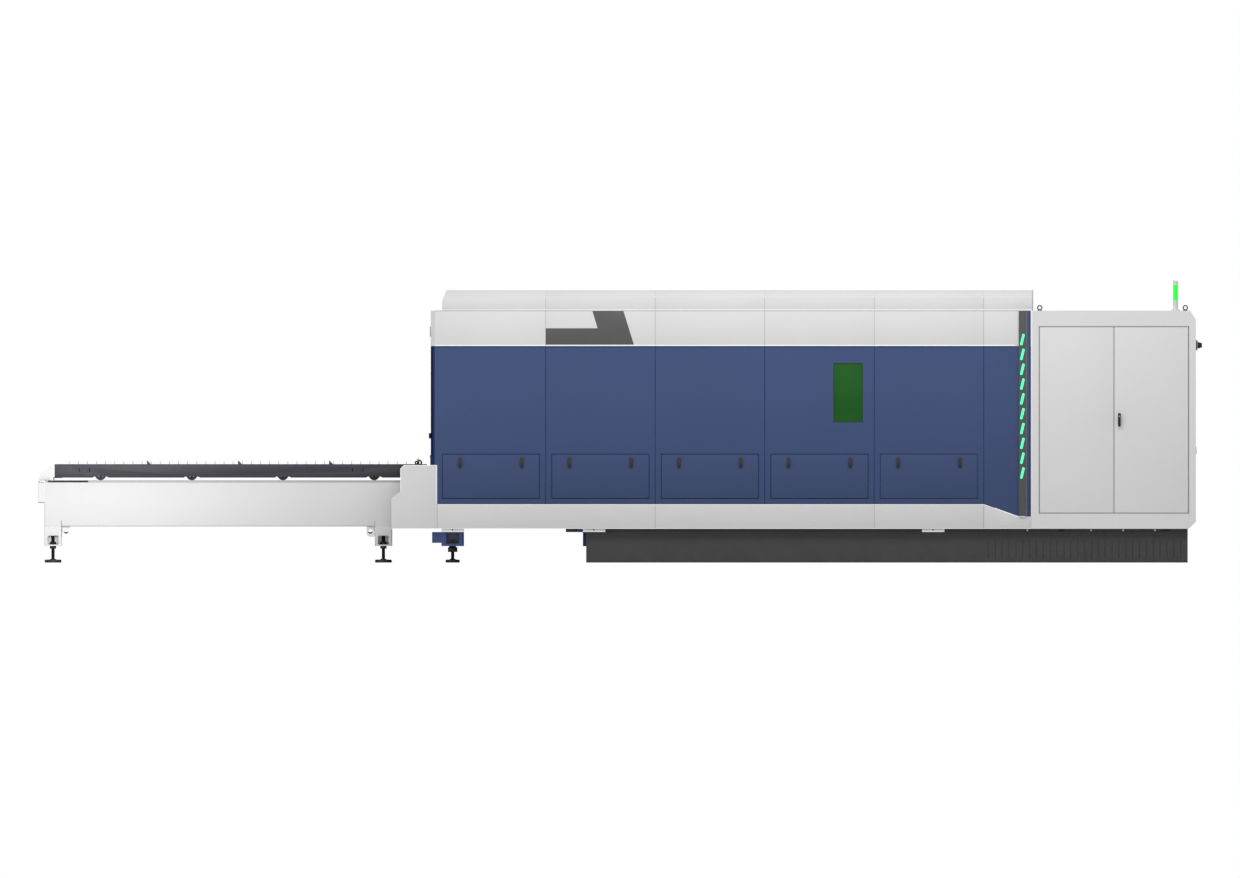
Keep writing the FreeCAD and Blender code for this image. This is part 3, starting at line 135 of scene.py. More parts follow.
def named(name):
    piece = rename(bpy.context.object, name)
    bpy.ops.object.transform_apply(location=True, rotation=True, scale=True)
    return piece


def apply_modifier(piece, kind, **values):
    pick(piece)
    bpy.ops.object.modifier_add(type=kind)
    modifier = piece.modifiers[-1]
    for key, value in values.items():
        setattr(modifier, key, value)
    bpy.ops.object.modifier_apply(modifier=modifier.name)
    return piece


def round_edges(piece, width, segments=2, angle=35):
    return apply_modifier(piece, "BEVEL", width=width * MM, segments=segments, limit_method="ANGLE",
                          angle_limit=math.radians(angle), harden_normals=False)


def block(name, x, y, z, edge=0.0, segments=2):
    """Cube primitive between three pairs of places, with its edges rounded."""
    low, high = Vector((x[0], y[0], z[0])) * MM, Vector((x[1], y[1], z[1])) * MM
    clear()
    bpy.ops.mesh.primitive_cube_add(size=1, location=(low + high) / 2)
    bpy.context.object.scale = high - low
    piece = named(name)
    return round_edges(piece, edge, segments) if edge else piece


def drum(name, start, axis, radius, length, sides=32, edge=0.0, segments=2):
    """Cylinder primitive from its start along an axis, with its rims rounded."""
    middle = (Vector(start) + axis * (length / 2)) * MM
    clear()
    bpy.ops.mesh.primitive_cylinder_add(vertices=sides, radius=radius * MM, depth=length * MM, location=middle,
                                        rotation=axis.to_track_quat("Z", "Y").to_euler())
    piece = named(name)
    return round_edges(piece, edge, segments) if edge else piece


def ring(name, centre, axis, radius, thickness, sides=32):
    clear()
    bpy.ops.mesh.primitive_torus_add(major_radius=radius * MM, minor_radius=thickness * MM, major_segments=sides,
                                     minor_segments=12, location=Vector(centre) * MM,
                                     rotation=axis.to_track_quat("Z", "Y").to_euler())
    return named(name)


def chain_of_points(points):
    """One vertex, extruded from point to point; edit mode stays on with the last one selected."""
    points = [Vector(p) * MM for p in points]
    clear()
    bpy.ops.mesh.primitive_plane_add(size=MM, location=points[0])
    bpy.ops.object.transform_apply(location=True, rotation=True, scale=True)
    bpy.ops.object.mode_set(mode="EDIT")
    bpy.ops.mesh.select_mode(type="VERT")
    bpy.ops.mesh.select_all(action="SELECT")
    bpy.ops.mesh.merge(type="CENTER")
    for a, b in zip(points, points[1:]):
        bpy.ops.mesh.extrude_vertices_move(TRANSFORM_OT_translate={"value": b - a})
    bpy.ops.mesh.select_all(action="SELECT")


def outward():
    bpy.ops.mesh.select_mode(type="VERT")
    bpy.ops.mesh.select_all(action="SELECT")
    bpy.ops.mesh.remove_doubles(threshold=0.02 * MM)
    bpy.ops.mesh.normals_make_consistent(inside=False)
    bpy.ops.object.mode_set(mode="OBJECT")


def profile(name, points, depth, edge=0.0, segments=2):
    """Closed outline of 3-D points, filled and extruded along depth."""
    chain_of_points(points)
    bpy.ops.mesh.edge_face_add()
    bpy.ops.mesh.extrude_region_move(TRANSFORM_OT_translate={"value": Vector(depth) * MM})
    outward()
    piece = named(name)
    return round_edges(piece, edge, segments) if edge else piece


def side_profile(name, outline, y0, y1, edge=0.0, segments=2):
    """Outline of (x, z) points, drawn from y0 to y1."""
    return profile(name, [(x, y0, z) for x, z in outline], (0, y1 - y0, 0), edge, segments)


def end_profile(name, outline, x0, x1, edge=0.0, segments=2):
    """Outline of (y, z) points, drawn from x0 to x1."""
    return profile(name, [(x0, y, z) for y, z in outline], (x1 - x0, 0, 0), edge, segments)


def lathe(name, centre, axis, outline, sides=32):
    """Outline of (radius, along) points, spun round the axis through the centre."""
    across = axis.orthogonal().normalized()
    centre = Vector(centre)
    chain_of_points([centre + across * r + axis * t for r, t in outline])
    bpy.ops.mesh.spin(steps=sides, dupli=False, angle=2 * math.pi, center=centre * MM, axis=axis)
    outward()
    return named(name)


def capsule(name, x, z, width, height, y0, y1, lean=0.0, edge=0.0, steps=8, segments=2):
    """Round-ended upright slot shape."""
    r, half = width / 2, height / 2 - width / 2
    tilt = math.atan2(lean, 2 * half)
    outline = []
    for end, start in ((1, 0.0), (-1, math.pi)):
        for k in range(steps + 1):
            a = start + math.pi * k / steps - tilt
            outline.append((x + end * lean / 2 + r * math.cos(a), z + end * half + r * math.sin(a)))
    return side_profile(name, outline, y0, y1, edge, segments)


def join(name, pieces):
    pick(*pieces)
    if len(pieces) > 1:
        bpy.ops.object.join()
    return rename(bpy.context.object, name)


def shift(piece, offset):
    piece.data.transform(Matrix.Translation(Vector(offset) * MM))
    return piece


def moved_copy(piece, name, offset=(0, 0, 0)):
    copy = piece.copy()
    copy.data = piece.data.copy()
    bpy.context.collection.objects.link(copy)
    return rename(shift(copy, offset), name)


def copies(piece, offsets):
    """The piece and its copies at each offset, every one with its own mesh, joined."""
    return join(piece.name, [piece] + [moved_copy(piece, "copy", offset) for offset in offsets])


def row(piece, count, step):
    return apply_modifier(piece, "ARRAY", count=count, use_relative_offset=False, use_constant_offset=True,
                          constant_offset_displace=Vector(step) * MM)


def both_sides(piece):
    """The piece and its mirror image on the rear side."""
    return apply_modifier(piece, "MIRROR", use_axis=(False, True, False), use_mirror_merge=False)


def mirrored(name, pieces):
    return both_sides(join(name, pieces))


def coat(piece, finish):
    piece.data.materials.clear()
    piece.data.materials.append(bpy.data.materials[finish])
    return piece


def dress(piece, finish, node=None, body="machine", smooth=40):
    """Coats the piece, rides it on its body, and smooths its rounded edges."""
    coat(piece, finish)
    pick(piece)
    if smooth:
        bpy.ops.object.shade_smooth_by_angle(angle=math.radians(smooth))
    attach(piece, body)
    if node:
        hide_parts(node)
    return piece


def place(node):
    """Lowest and highest corner of a node, in millimetres."""
    low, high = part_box(node)
    return low / MM, high / MM


# ---------------------------------------------------------------- finishes

def new_group(name, inputs, outputs):
    tree = bpy.data.node_groups.new(name, "ShaderNodeTree")
    for label, kind, default in inputs:
        socket = tree.interface.new_socket(name=label, in_out="INPUT", socket_type=kind)
        socket.default_value = default
    for label, kind in outputs:
        tree.interface.new_socket(name=label, in_out="OUTPUT", socket_type=kind)
    return tree, tree.nodes.new("NodeGroupInput"), tree.nodes.new("NodeGroupOutput")


FLOAT, COLOR, VECTOR = "NodeSocketFloat", "NodeSocketColor", "NodeSocketVector"


def feed(tree, socket, value):
    """Sets the socket to a number or a tuple, or links another socket to it."""
    if isinstance(value, (int, float, tuple)):
        socket.default_value = value
    else:
        tree.links.new(value, socket)


def noise(tree, vector, scale, detail=2.0, rough=0.5):
    node = tree.nodes.new("ShaderNodeTexNoise")
    for label, value in (("Detail", detail), ("Roughness", rough), ("Vector", vector), ("Scale", scale)):
        feed(tree, node.inputs[label], value)
    return node.outputs["Fac"]


def math_node(tree, operation, *values):
    node = tree.nodes.new("ShaderNodeMath")
    node.operation = operation
    for socket, value in zip(node.inputs, values):
        feed(tree, socket, value)
    return node.outputs[0]


def remap(tree, value, low, high, to_low=0.0, to_high=1.0):
    node = tree.nodes.new("ShaderNodeMapRange")
    tree.links.new(value, node.inputs["Value"])
    for label, number in (("From Min", low), ("From Max", high), ("To Min", to_low), ("To Max", to_high)):
        feed(tree, node.inputs[label], number)
    return node.outputs["Result"]


def blend_colour(tree, factor, a, b, kind="MIX"):
    node = tree.nodes.new("ShaderNodeMix")
    node.data_type = "RGBA"
    node.blend_type = kind
    for label, value in (("Factor", factor), (6, a), (7, b)):
        feed(tree, node.inputs[label], value)
    return node.outputs[2]


def object_place(tree):
    return tree.nodes.new("ShaderNodeTexCoord").outputs["Object"]


def stretched(tree, vector, factors):
    node = tree.nodes.new("ShaderNodeVectorMath")
    node.operation = "MULTIPLY"
    feed(tree, node.inputs[0], vector)
    feed(tree, node.inputs[1], factors)
    return node.outputs[0]


def shaded(tree, tone, value):
    """The colour times a grey value."""
    grey_value = tree.nodes.new("ShaderNodeCombineColor")
    for socket in grey_value.inputs:
        tree.links.new(value, socket)
    return blend_colour(tree, 1.0, tone, grey_value.outputs[0], "MULTIPLY")


def powder_coat_group():
    """Baked powder coat: fine orange peel, a faint cloudiness, dust that gathers near the floor and painted shade
    that darkens it below 1.45 m.
    """
    tree, start, end = new_group("powder_coat", [
        ("Color", COLOR, (0.7, 0.7, 0.7, 1.0)), ("Cloud", FLOAT, 0.02), ("Peel Scale", FLOAT, 260.0),
        ("Roughness", FLOAT, 0.5), ("Dust", FLOAT, 0.06), ("Dust Height", FLOAT, 0.5), ("Deepening", FLOAT, 0.0),
    ], [("Color", COLOR), ("Roughness", FLOAT), ("Height", FLOAT)])
    where = object_place(tree)
    cloud = noise(tree, where, 1.3, 3.0)
    low = math_node(tree, "SUBTRACT", 1.0, start.outputs["Cloud"])
    high = math_node(tree, "ADD", 1.0, start.outputs["Cloud"])
    value = remap(tree, cloud, 0.3, 0.7, low, high)
    split = tree.nodes.new("ShaderNodeSeparateXYZ")
    tree.links.new(where, split.inputs[0])
    # Painted shade: below 1.45 m the colour is made darker towards the floor, by the given share.
    shade_towards_floor = math_node(tree, "MULTIPLY", remap(tree, split.outputs["Z"], 1.45, 0.5), start.outputs["Deepening"])
    value = math_node(tree, "MULTIPLY", value, math_node(tree, "SUBTRACT", 1.0, shade_towards_floor))
    near_floor = remap(tree, split.outputs["Z"], start.outputs["Dust Height"], 0.0)
    patchy = remap(tree, noise(tree, where, 7.0, 4.0, 0.6), 0.35, 0.75)
    dust = math_node(tree, "MULTIPLY", math_node(tree, "MULTIPLY", near_floor, start.outputs["Dust"]), patchy)
    clouded = shaded(tree, start.outputs["Color"], value)
    tree.links.new(blend_colour(tree, dust, clouded, (0.30, 0.29, 0.27, 1.0)), end.inputs["Color"])
    fine = noise(tree, where, start.outputs["Peel Scale"], 1.0)
    rough = math_node(tree, "ADD", start.outputs["Roughness"], math_node(tree, "MULTIPLY", dust, 0.8))
    spread = remap(tree, fine, 0.0, 1.0, -0.03, 0.03)
    tree.links.new(math_node(tree, "ADD", rough, spread), end.inputs["Roughness"])
    tree.links.new(fine, end.inputs["Height"])
    return tree


def brushed_group():
    """Ground or rolled metal: streaks along one direction."""
    tree, start, end = new_group("brushed_metal", [
        ("Color", COLOR, (0.5, 0.5, 0.5, 1.0)), ("Streaks", VECTOR, (2.0, 60.0, 60.0)), ("Contrast", FLOAT, 0.15),
        ("Roughness", FLOAT, 0.35),
    ], [("Color", COLOR), ("Roughness", FLOAT), ("Height", FLOAT)])
    where = object_place(tree)
    streak = noise(tree, stretched(tree, where, start.outputs["Streaks"]), 6.0, 4.0, 0.65)
    low = math_node(tree, "SUBTRACT", 1.0, start.outputs["Contrast"])
    high = math_node(tree, "ADD", 1.0, start.outputs["Contrast"])
    value = remap(tree, streak, 0.25, 0.75, low, high)
    tree.links.new(shaded(tree, start.outputs["Color"], value), end.inputs["Color"])
    spread = remap(tree, streak, 0.2, 0.8, -0.08, 0.08)
    tree.links.new(math_node(tree, "ADD", start.outputs["Roughness"], spread), end.inputs["Roughness"])
    tree.links.new(streak, end.inputs["Height"])
    return tree


def scuff_group():
    """Mask of rubbed patches and short scratches, denser where sheets slide over the steel."""
    tree, start, end = new_group("scuffs", [("Amount", FLOAT, 0.4), ("Scale", FLOAT, 9.0)], [("Mask", FLOAT)])
    where = object_place(tree)
    patch = noise(tree, where, start.outputs["Scale"], 6.0, 0.7)
    scratch = noise(tree, stretched(tree, where, (4.0, 4.0, 90.0)), 8.0, 3.0, 0.6)
    joined = math_node(tree, "MULTIPLY", remap(tree, patch, 0.52, 0.72), remap(tree, scratch, 0.42, 0.62))
    tree.links.new(math_node(tree, "MULTIPLY", joined, start.outputs["Amount"]), end.inputs["Mask"])
    return tree


def new_material(name):
    material = bpy.data.materials.get(name) or bpy.data.materials.new(name)
    material.use_nodes = True
    tree = material.node_tree
    tree.nodes.clear()
    shader = tree.nodes.new("ShaderNodeBsdfPrincipled")
    surface = tree.nodes.new("ShaderNodeOutputMaterial")
    tree.links.new(shader.outputs[0], surface.inputs["Surface"])
    return tree, shader


def use_group(tree, name, **values):
    node = tree.nodes.new("ShaderNodeGroup")
    node.node_tree = bpy.data.node_groups[name]
    for key, value in values.items():
        node.inputs[key.replace("_", " ")].default_value = value
    return node


def raise_surface(tree, shader, height, strength, distance):
    bump = tree.nodes.new("ShaderNodeBump")
    bump.inputs["Strength"].default_value = strength
    bump.inputs["Distance"].default_value = distance
    tree.links.new(height, bump.inputs["Height"])
    tree.links.new(bump.outputs["Normal"], shader.inputs["Normal"])


def painted(name, tone, roughness=0.5, cloud=0.02, peel=260.0, dust=0.06, dust_height=0.5, scuffs=0.0,
            under=(0.22, 0.21, 0.20), bump=0.12, gloss=0.35, painted_shade=0.0):
    tree, shader = new_material(name)
    group = use_group(tree, "powder_coat", Color=(*tone, 1.0), Cloud=cloud, Peel_Scale=peel, Roughness=roughness,
                      Dust=dust, Dust_Height=dust_height, Deepening=painted_shade)
    base = group.outputs["Color"]
    if scuffs:
        mask = use_group(tree, "scuffs", Amount=scuffs)
        base = blend_colour(tree, mask.outputs["Mask"], base, (*under, 1.0))
    tree.links.new(base, shader.inputs["Base Color"])
    tree.links.new(group.outputs["Roughness"], shader.inputs["Roughness"])
    shader.inputs["Specular IOR Level"].default_value = gloss
    raise_surface(tree, shader, group.outputs["Height"], bump, 0.0006)


def metal(name, tone, streaks=(2.0, 60.0, 60.0), contrast=0.15, roughness=0.35, bump=0.15, scuffs=0.0,
          under=(0.08, 0.06, 0.05)):
    tree, shader = new_material(name)
    group = use_group(tree, "brushed_metal", Color=(*tone, 1.0), Streaks=streaks, Contrast=contrast,
                      Roughness=roughness)
    base = group.outputs["Color"]
    if scuffs:
        mask = use_group(tree, "scuffs", Amount=scuffs, Scale=14.0)
        base = blend_colour(tree, mask.outputs["Mask"], base, (*under, 1.0))
    tree.links.new(base, shader.inputs["Base Color"])
    tree.links.new(group.outputs["Roughness"], shader.inputs["Roughness"])
    shader.inputs["Metallic"].default_value = 1.0
    raise_surface(tree, shader, group.outputs["Height"], bump, 0.0004)


def moulded(name, tone, roughness=0.45, peel=700.0, bump=0.2):
    painted(name, tone, roughness, 0.04, peel, 0.0, 0.5, 0.0, bump=bump)


def lit(name, tone, strength, rim=0.75):
    """Lit diffuser with a fine moulded grain."""
    tree, shader = new_material(name)
    grain = noise(tree, object_place(tree), 180.0)
    glow = shaded(tree, (*tone, 1.0), remap(tree, grain, 0.3, 0.7, rim))
    tree.links.new(glow, shader.inputs["Base Color"])
    tree.links.new(glow, shader.inputs["Emission Color"])
    shader.inputs["Emission Strength"].default_value = strength
    shader.inputs["Roughness"].default_value = 0.35
    raise_surface(tree, shader, grain, 0.1, 0.0004)


def safety_glass(name, tone):
    """Dark tinted pane with faint waviness and a smooth gloss."""
    tree, shader = new_material(name)
    cloud = noise(tree, object_place(tree), 3.0, 3.0)
    darker = tuple(0.82 * c for c in tone)
    tint = blend_colour(tree, remap(tree, cloud, 0.3, 0.7), (*tone, 1.0), (*darker, 1.0))
    tree.links.new(tint, shader.inputs["Base Color"])
    tree.links.new(remap(tree, cloud, 0.3, 0.7, 0.10, 0.18), shader.inputs["Roughness"])
    shader.inputs["Specular IOR Level"].default_value = 0.1
    raise_surface(tree, shader, cloud, 0.05, 0.002)


def grey(level):
    return (level, level, level)


def make_finishes():
    powder_coat_group()
    brushed_group()
    scuff_group()
    c = colours()
    for finish in (
        ("fascia_white", c.white, 0.55, 0.012), ("door_white", c.white, 0.55, 0.012),
        # trim white: a near-white for trims and screws, and for painted highlights on lips, edges and rims.
        ("trim_white", grey(0.90), 0.5, 0.01), ("guard_white", grey(0.74), 0.5, 0.01),
        ("strip_white", grey(0.40), 0.5, 0.02), ("head_white", (0.62, 0.63, 0.64), 0.4, 0.02),
        ("gear_white", (0.60, 0.61, 0.62), 0.5, 0.02), ("groove_grey", grey(0.60), 0.6, 0.02),
        ("edge_grey", (0.42, 0.42, 0.43), 0.5, 0.02), ("line_grey", grey(0.36), 0.6, 0.02),
        ("joint_grey", grey(0.20), 0.6, 0.03), ("gantry_grey", (0.14, 0.16, 0.20), 0.5, 0.04),
        ("gear_grey", (0.10, 0.105, 0.11), 0.5, 0.03), ("mark_grey", grey(0.090), 0.45, 0.02),
        ("strip_grey", c.strip, 0.4, 0.02), ("motor_grey", (0.055, 0.06, 0.065), 0.45, 0.05),
        ("wheel_dark", (0.050, 0.047, 0.056), 0.45, 0.04), ("edge_violet", (0.20, 0.19, 0.27), 0.5, 0.02),
        ("recess_blue", (0.050, 0.058, 0.105), 0.6, 0.04), ("joint_blue", (0.020, 0.032, 0.080), 0.6, 0.03),
        ("gasket_green", (0.010, 0.045, 0.012), 0.5, 0.03), ("rim_green", (0.012, 0.10, 0.055), 0.4, 0.03),
    ):
        painted(*finish)
    painted("sill_white", c.sill, 0.55, 0.012, dust=0.05)
    # The panel blue gets painted shade that darkens it towards the floor.
    painted("panel_blue", c.blue, 0.55, 0.02, dust=0.02, gloss=0.25, painted_shade=0.20)
    # The bed's blue is the panel blue made brighter: painted light against the shade under the covers.
    painted("bed_blue", tuple(1.45 * share for share in c.blue), 0.55, 0.02, dust=0.02, gloss=0.25)
    painted("frame_blue", c.deep_blue, 0.5, 0.03, gloss=0.15)
    painted("corner_navy", (0.0015, 0.0025, 0.022), 0.5, 0.03, gloss=0.03)
    painted("corner_blue", (0.010, 0.026, 0.105), 0.5, 0.03, gloss=0.12)
    # The next two blues are painted shade round the flaps' edges; the second also colours the panels' joints.
    painted("lip_blue", (0.026, 0.042, 0.140), 0.55, 0.03, gloss=0.25)
    painted("seam_blue", (0.0105, 0.026, 0.120), 0.55, 0.03, gloss=0.25)
    painted("foot_blue", (0.022, 0.042, 0.150), 0.55, 0.03, gloss=0.2)
    painted("plinth_grey", c.plinth, 0.6, 0.03, dust=0.05, dust_height=0.3, gloss=0.25)
    painted("pallet_grey", c.pallet, 0.50, 0.02, 120.0, scuffs=0.15, dust=0.0, under=(0.11, 0.11, 0.12))
    painted("source_black", (0.03, 0.03, 0.032), 0.55, 0.04, 500.0, bump=0.3)
    metal("slat_steel", (0.42, 0.42, 0.43), (60.0, 2.0, 60.0), 0.25, 0.45, scuffs=0.8)
    metal("bright_steel", (0.50, 0.50, 0.51), (40.0, 40.0, 8.0), 0.12, 0.32)
    metal("chain_steel", (0.16, 0.155, 0.15), (30.0, 30.0, 30.0), 0.3, 0.4)
    metal("wheel_steel", (0.20, 0.20, 0.21), (30.0, 4.0, 30.0), 0.2, 0.38)
    metal("zinc", (0.58, 0.59, 0.60), (20.0, 20.0, 20.0), 0.10, 0.42)
    metal("copper", (0.62, 0.33, 0.18), (30.0, 30.0, 10.0), 0.10, 0.30)
    moulded("black_parts", (0.010, 0.010, 0.011), 0.5)
    moulded("latch_grey", (0.035, 0.034, 0.036), 0.35)
    moulded("tower_grey", (0.62, 0.63, 0.64), 0.45)
    moulded("seam_dark", (0.012, 0.012, 0.014), 0.7)
    moulded("rubber_grey", (0.34, 0.34, 0.345), 0.75)
    lit("lens_green", c.light, 0.58)
    lit("tower_green", c.tower, 0.55)
    safety_glass("window_green", c.window)


def slot_of(node):
    for entry in frame["record"]["subparts"]:
        if entry["node"] == node:
            return entry["material_slot"]
    raise ValueError(node)


# ---------------------------------------------------------------- operators

class LASER_OT_finishes(bpy.types.Operator):
    """Builds every finish and gives it to the solids that stay as they are"""
    bl_idname = "laser.finishes"
    bl_label = "Finishes"

    def execute(self, context):
        make_finishes()
        for node, solid in frame["nodes"].items():
            coat(solid, slot_of(node))
        return {"FINISHED"}


class LASER_OT_stage(bpy.types.Operator):
    """Floor, studio light and the camera that looks straight at the front"""
    bl_idname = "laser.stage"
    bl_label = "Stage"

    def execute(self, context):
        studio = context.scene.laser_studio
        clear()
        bpy.ops.mesh.primitive_plane_add(size=90.0, location=(0, 0, 0))
        floor = named("floor")
        tree, shader = new_material("floor_white")
        tone = remap(tree, noise(tree, object_place(tree), 2.0, 4.0), 0.3, 0.7)
        tree.links.new(blend_colour(tree, tone, (0.84, 0.84, 0.84, 1.0), (0.86, 0.86, 0.86, 1.0)),
                       shader.inputs["Base Color"])
        shader.inputs["Roughness"].default_value = 0.9
        shader.inputs["Specular IOR Level"].default_value = 0.1
        floor.data.materials.append(bpy.data.materials["floor_white"])

        world = bpy.data.worlds.new("studio")
        context.scene.world = world
        world.use_nodes = True
        tree = world.node_tree
        tree.nodes.clear()
        shades = []
        for strength in (studio.sky, 1.0):
            shade = tree.nodes.new("ShaderNodeBackground")
            shade.inputs["Color"].default_value = (1.0, 1.0, 1.0, 1.0)
            shade.inputs["Strength"].default_value = strength
            shades.append(shade)
        path = tree.nodes.new("ShaderNodeLightPath")
        rays = math_node(tree, "MAXIMUM", path.outputs["Is Camera Ray"],
                         math_node(tree, "MAXIMUM", path.outputs["Is Glossy Ray"],
                                   path.outputs["Is Transmission Ray"]))
        mix = tree.nodes.new("ShaderNodeMixShader")
        out = tree.nodes.new("ShaderNodeOutputWorld")
        tree.links.new(rays, mix.inputs[0])
        for k, shade in enumerate(shades):
            tree.links.new(shade.outputs[0], mix.inputs[k + 1])
        tree.links.new(mix.outputs[0], out.inputs["Surface"])

        for name, spot, aim, size, power in (
            ("key_light", (1.6, -5.2, 6.0), (1.6, -1.0, 1.6), (10.0, 2.0), studio.key),
            ("side_light", (-4.65, -3.56, 0.75), (-4.65, -1.0, 0.5), (1.2, 1.0), studio.side),
        ):
            clear()
            bpy.ops.object.light_add(type="AREA", location=spot)
            lamp = context.object
            lamp.name = name
            lamp.data.shape = "RECTANGLE"
            lamp.data.size, lamp.data.size_y = size
            lamp.data.energy = power
            lamp.rotation_euler = (Vector(aim) - Vector(spot)).to_track_quat("-Z", "Y").to_euler()

        clear()
        bpy.ops.object.camera_add(location=(0.0, -20.0, studio.camera_height), rotation=(math.pi / 2, 0, 0))
        camera = context.object
        camera.name = "front_camera"
        camera.data.type = "ORTHO"
        camera.data.ortho_scale = studio.frame_width
        camera.data.clip_end = 100.0
        context.scene.camera = camera
        context.scene.view_settings.view_transform = "Standard"
        return {"FINISHED"}


# ---------------------------------------------------------------- more shaping

def select_faces(piece, test):
    """Selects the faces whose centre and normal pass the test; edit mode stays on."""
    pick(piece)
    bpy.ops.object.mode_set(mode="EDIT")
    bpy.ops.mesh.select_mode(type="FACE")
    bpy.ops.mesh.select_all(action="DESELECT")
    bpy.ops.object.mode_set(mode="OBJECT")
    for face in piece.data.polygons:
        face.select = test(face.center / MM, face.normal)
    bpy.ops.object.mode_set(mode="EDIT")


def sink(piece, facing, wall, depth):
    """Insets the faces that look along facing, and pushes them in."""
    select_faces(piece, lambda at, normal: normal.dot(facing) > 0.99)
    bpy.ops.mesh.inset(thickness=wall * MM)
    bpy.ops.mesh.extrude_region_move(TRANSFORM_OT_translate={"value": -facing * depth * MM})
    bpy.ops.object.mode_set(mode="OBJECT")
    return piece


def slice_off(piece, point, facing, **side):
    """Cuts the piece along a plane, and clears what is on the side that is named."""
    pick(piece)
    bpy.ops.object.mode_set(mode="EDIT")
    bpy.ops.mesh.select_all(action="SELECT")
    bpy.ops.mesh.bisect(plane_co=Vector(point) * MM, plane_no=facing, use_fill=True, **side)
    bpy.ops.object.mode_set(mode="OBJECT")


def cut(piece, *tools):
    """Takes the tools' shapes out of the piece."""
    for tool in tools:
        apply_modifier(piece, "BOOLEAN", operation="DIFFERENCE", object=tool, solver="EXACT")
        pick(tool)
        bpy.ops.object.delete()
    return piece


def rounded(corners, steps=5):
    """Outline through (x, z, radius) corners, each turned with its own radius."""
    outline = []
    for k, (x, z, radius) in enumerate(corners):
        here = Vector((x, z))
        if not radius:
            outline.append((x, z))
            continue
        before = (Vector(corners[k - 1][:2]) - here).normalized()
        after = (Vector(corners[(k + 1) % len(corners)][:2]) - here).normalized()
        half = before.angle(after) / 2
        middle = here + (before + after).normalized() * (radius / math.sin(half))
        start = here + before * (radius / math.tan(half)) - middle
        end = here + after * (radius / math.tan(half)) - middle
        for n in range(steps + 1):
            across = (start * (steps - n) + end * n).normalized() * radius
            outline.append(tuple(middle + across))
    return outline


def oblong(x, z, radius, top=None):
    """Corners of an upright oblong, for rounded(); the upper two may have a radius of their own."""
    top = radius if top is None else top
    return [(x[0], z[0], radius), (x[1], z[0], radius), (x[1], z[1], top), (x[0], z[1], top)]


def surround(name, x, y, z, width, edge=0.0):
    """Flat frame round an upright opening, as wide as width all round."""
    piece = block(name, (x[0] - width, x[1] + width), y, (z[0] - width, z[1] + width))
    cut(piece, block("opening", x, (y[0] - 5, y[1] + 5), z))
    return round_edges(piece, edge) if edge else piece


def bolt(name, seat, axis, radius, height):
    """Socket screw head on its seat, with a washer under it."""
    r, h = radius, height
    return lathe(name, seat, axis, [
        (0, 0), (r * 1.45, 0), (r * 1.45, h * 0.18), (r, h * 0.2), (r, h * 0.85), (r * 0.88, h), (r * 0.5, h),
        (r * 0.45, h * 0.5), (0, h * 0.5),
    ], 12)


def bolts(name, seats, axis, radius, height):
    first, *others = seats
    piece = bolt(name, first, axis, radius, height)
    return copies(piece, [Vector(seat) - Vector(first) for seat in others])


def joints_x():
    """Places of the joints between the body's panels."""
    margin = 51.0
    return [place(f"flap_{k}")[0].x - margin for k in range(1, 6)] + [place("flap_5")[1].x + margin]


def sheet_spans(gap=3.0):
    """Left and right end of each sheet of the body."""
    inner = joints_x()[1:]
    low, high = place("fascia")
    return list(zip([low.x] + [x + gap / 2 for x in inner], [x - gap / 2 for x in inner] + [high.x]))


# ---------------------------------------------------------------- body

class LASER_OT_white_band(bpy.types.Operator):
    """White band above the blue panels: folded sheets, a lower lip of painted highlight, joints, corner strips and a
    plain mark
    """
    bl_idname = "laser.white_band"
    bl_label = "White band"

    def execute(self, context):
        low, high = place("fascia")
        y0, z0, z1 = low.y, low.z, high.z
        lip_end, corner_foot, spans = 3280.0, 886.0, sheet_spans(2.0)
        section = [(y0 + 9, z0), (y0, z0), (y0, z1), (y0 + 55, z1), (y0 + 55, z1 - 3), (y0 + 3, z1 - 3),
                   (y0 + 3, z0 + 3), (y0 + 9, z0 + 3)]
        band = mirrored("white_band", [end_profile("band", section, a, b, 1.2) for a, b in spans])
        dress(band, "fascia_white", node="fascia")

        # The light lip along the band's foot is a painted highlight.
        lips = [block("lip", (a, min(b, lip_end)), (y0 - 1.2, y0 + 2), (z0, z0 + 11), 0.8) for a, b in spans]
        dress(join("band_lip", lips), "trim_white")

        joints = mirrored("band_joints", [block("joint", (x - 3, x + 3), (y0 + 3.2, y0 + 6), (z0 + 4, z1 - 4), 0.4)
                                          for x in joints_x()[1:]])
        dark = [block("band_top", (low.x, high.x), (y0 - 0.6, y0 + 2), (z1 - 3.5, z1), 0.4), joints]
        dress(join("band_dark_lines", dark), "joint_grey")

        edge, start = place("port_wall")[0].x, place("port_wall")[0].y + 32
        for tone, near, far in (("navy", 0, 15), ("blue", 15, 32)):
            strip = profile(f"corner_{tone}", [
                (edge + near - 0.6, start - near - 0.6, corner_foot), (edge + near, start - near, corner_foot),
                (edge + far, start - far, corner_foot), (edge + far - 0.6, start - far - 0.6, corner_foot),
            ], (0, 0, z0 - corner_foot - 1), 0.2)
            dress(both_sides(strip), f"corner_{tone}")
        line = block("band_shadow", (low.x, lip_end), (y0 + 5, y0 + 7), (z0 - 10, z0 - 0.5), 0.3)
        dress(both_sides(line), "foot_blue")

        front = y0 + 6
        sleeve = profile("band_corner", [
            (low.x, front, z0), (low.x - 0.8, front - 1.2, z0), (edge - 0.8, front + 31.2, z0),
            (edge, front + 32, z0)], (0, 0, z1 - z0), 0.3)
        dress(both_sides(sleeve), "fascia_white")

        mark = side_profile("band_mark", [(-617, z0 + 11), (116, z0 + 11), (29, z1 - 4), (-229, z1 - 4),
                                          (-186, z0 + 148), (-617, z0 + 148)], y0 - 0.5, y0 + 1, 0.2)
        dress(mark, "mark_grey")
        return {"FINISHED"}


